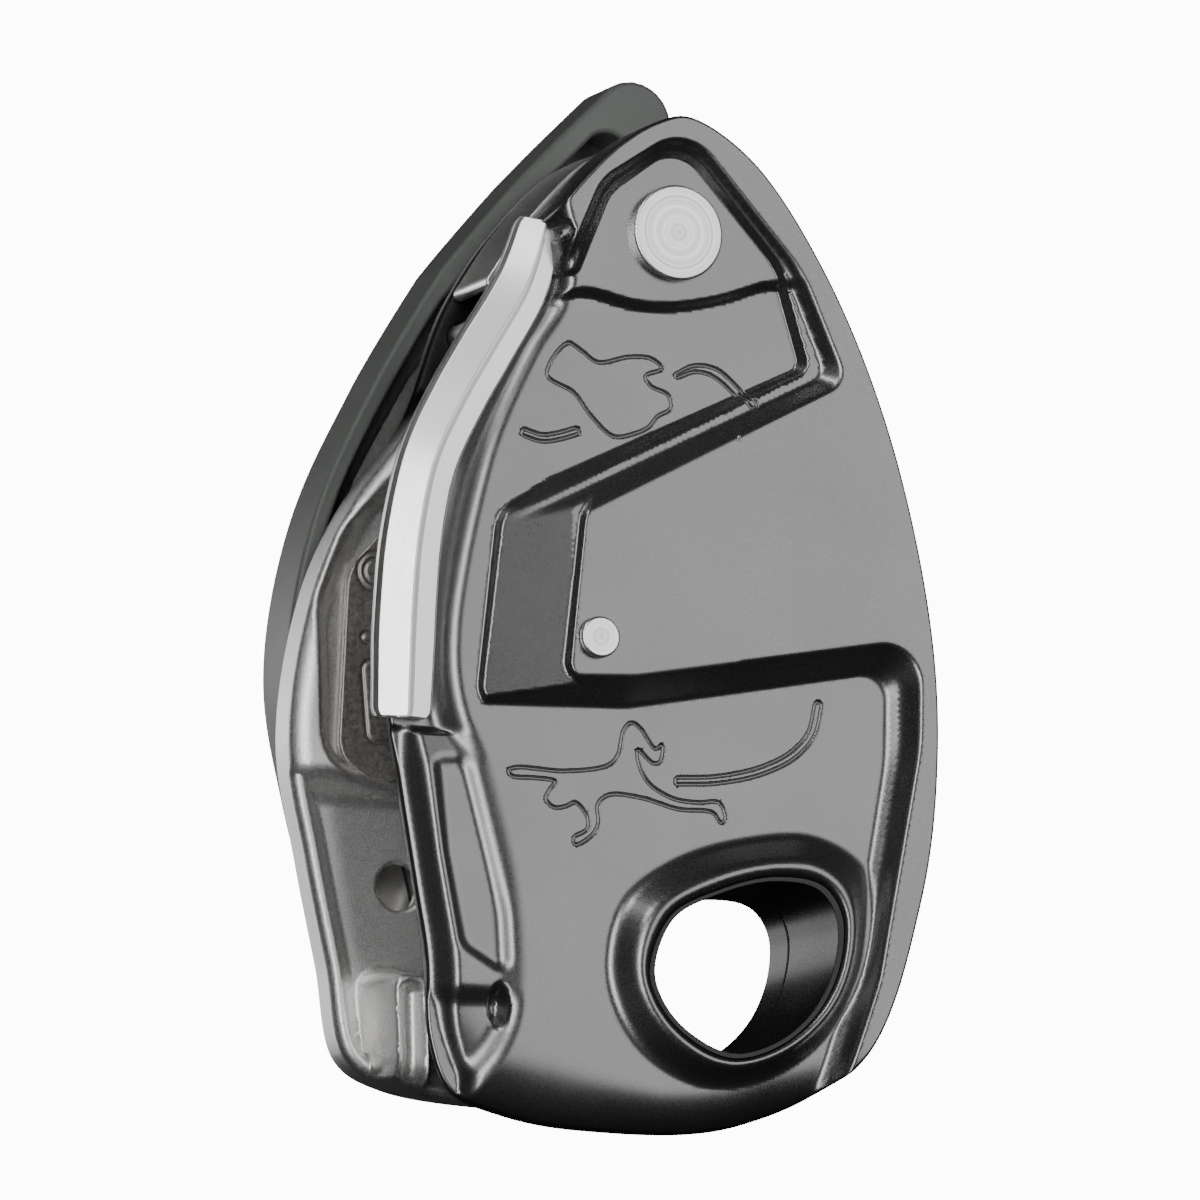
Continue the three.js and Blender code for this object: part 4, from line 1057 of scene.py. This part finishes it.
camLook = {"front": -4.9, "dish": 0.7, "ramp": (1.6, 4.0, 1.5)}
nutLook = {"side": 5.6, "back": 15.4, "cone": 0.55, "ramp": (4.6, 5.6, 0.2)}
camMetal = lathedMaterial("camMetal", lathe, camAxis)
addTurned("camShaft", camAxis, [[0, -5.2, 0], [5.4, -5.2, 0.3], [5.4, -4.4, 0.15],
                                [4, -4.4, 0.1], [4, 13, 0.2], [3, 13, 0.1],
                                [3, 15.6, 0.4], [0, 15.6, 0]],
          "cam_group", camMetal, ["cam_shaft"])
camEdge = evened(corner([[-28.5, 53, 5], [-13, 51, 9], [-3, 38, 9], [-9, 24, 9],
                         [-27, 24.5, 9], [-31.5, 40, 9]]), 0.5)
camFlange = evened(corner([[-30.5, 56, 5], [-11, 54, 9], [-1, 38.5, 9],
                           [-7.5, 21, 9], [-28.5, 21.5, 9], [-34, 41, 9]]), 0.5)


# The rope bears on the cam's edge, so its front is dished a little towards the shaft.
def camFront(points):
    return camLook["front"] + camLook["dish"] * rampInside(points, camEdge, camLook["ramp"])


addPlate("camBody", camEdge, camFront, level(3.2), "cam_group", steel,
         holes=[circle(*camAxis, 5.6)], rounding=0.9, grid=1.0)
addPlate("camFlange", camFlange, level(2.9), level(4.5), "cam_group", steel,
         ["cam"], holes=[circle(*camAxis, 8.6)], rounding=0.4)
addTurned("clutchPlate", camAxis, [[4.08, 10.6, 0.1], [8.6, 10.6, 0.2],
                                   [8.6, 11.8, 0.2], [4.08, 11.8, 0.1]],
          "cam_group", steel, ["clutch_plate"])
nutEdge = evened(corner([[*place, 0.35] for place in circle(*camAxis, nutLook["side"], 6)], 4),
                 0.35)


# The six corners of a turned nut are faced off by a cone.
def nutBack(points):
    return nutLook["back"] - nutLook["cone"] * easedRamp(reachFrom(camAxis, points),
                                                         *nutLook["ramp"])


addPlate("shaftNut", nutEdge, level(13.2), nutBack, "cam_group", steel,
         ["shaft_nut"], holes=[circle(*camAxis, 3.08, 48)], rounding=0.15,
         backRounding=0.15, backGrid=0.4)
addTurned("knobDisc", knobAxis, [[1.3, 10.4, 0.1], [3.1, 10.4, 0.1], [3.1, 8.1, 0.2],
                                 [8.5, 8.1, 0.4], [8.5, 12.2, 0.9], [1.3, 12.2, 0.1]],
          "selector", handlePlastic, ["selector_knob"])
addPlate("knobBar", evened(bandLoop([[6, 24.4], [6, 35.6]], [1.95, 1.95], 0.3), 0.35),
         level(11.6), level(14.6), "selector", handlePlastic, rounding=0.2,
         backRounding=0.7)
addTurned("knobScrew", knobAxis, [[0, 10.5, 0], [1.2, 10.5, 0.1], [1.2, 14.5, 0.1],
                                  [1.7, 14.5, 0.1], [1.7, 15.5, 0.3], [0.9, 15.5, 0.1],
                                  [0.8, 14.9, 0.1], [0, 14.9, 0]],
          "selector", steel, ["selector_screw"], sides=48)
addTurned("hingeBarrel", pivot, [[4.1, -5.3, 0.3], [8.4, -5.3, 0.5], [8.4, 4.9, 0.5],
                                 [4.1, 4.9, 0.3]], "frame", steel,
          ["hinge_barrel"])
frictionEdge = evened(bandLoop([[-3, 96.2], [-14.4, 95.6], [-23.6, 87.4], [-29, 79.7]],
                               [0.8, 0.8], 0.5, 6), 0.35)
addPlate("frictionPlate", frictionEdge, level(-5.3), level(4.9), "frame",
         polished, ["friction_plate"], rounding=0.3)
print("cam, selector and channel parts made")


# Finishes of the parts shown as they were made.

shownNodes = [
    (polished, ["axle_washer", "detent_ball"]), (darkLiner, ["cam_bearing"]),
    (springSteel, ["cam_return_spring", "clutch_spring", "detent_leaf"]),
    (steel, ["cam_stop_pin", "catch_plate", "handle_core", "core_rivet_1", "core_rivet_2",
             "friction_pin_1", "friction_pin_2", "selector_shaft", "strip_rivet_1",
             "strip_rivet_2", "strip_rivet_3"]),
]
for material, names in shownNodes:
    for name in names:
        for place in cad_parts[name].material_slots:
            place.material = material
print("finishes set")
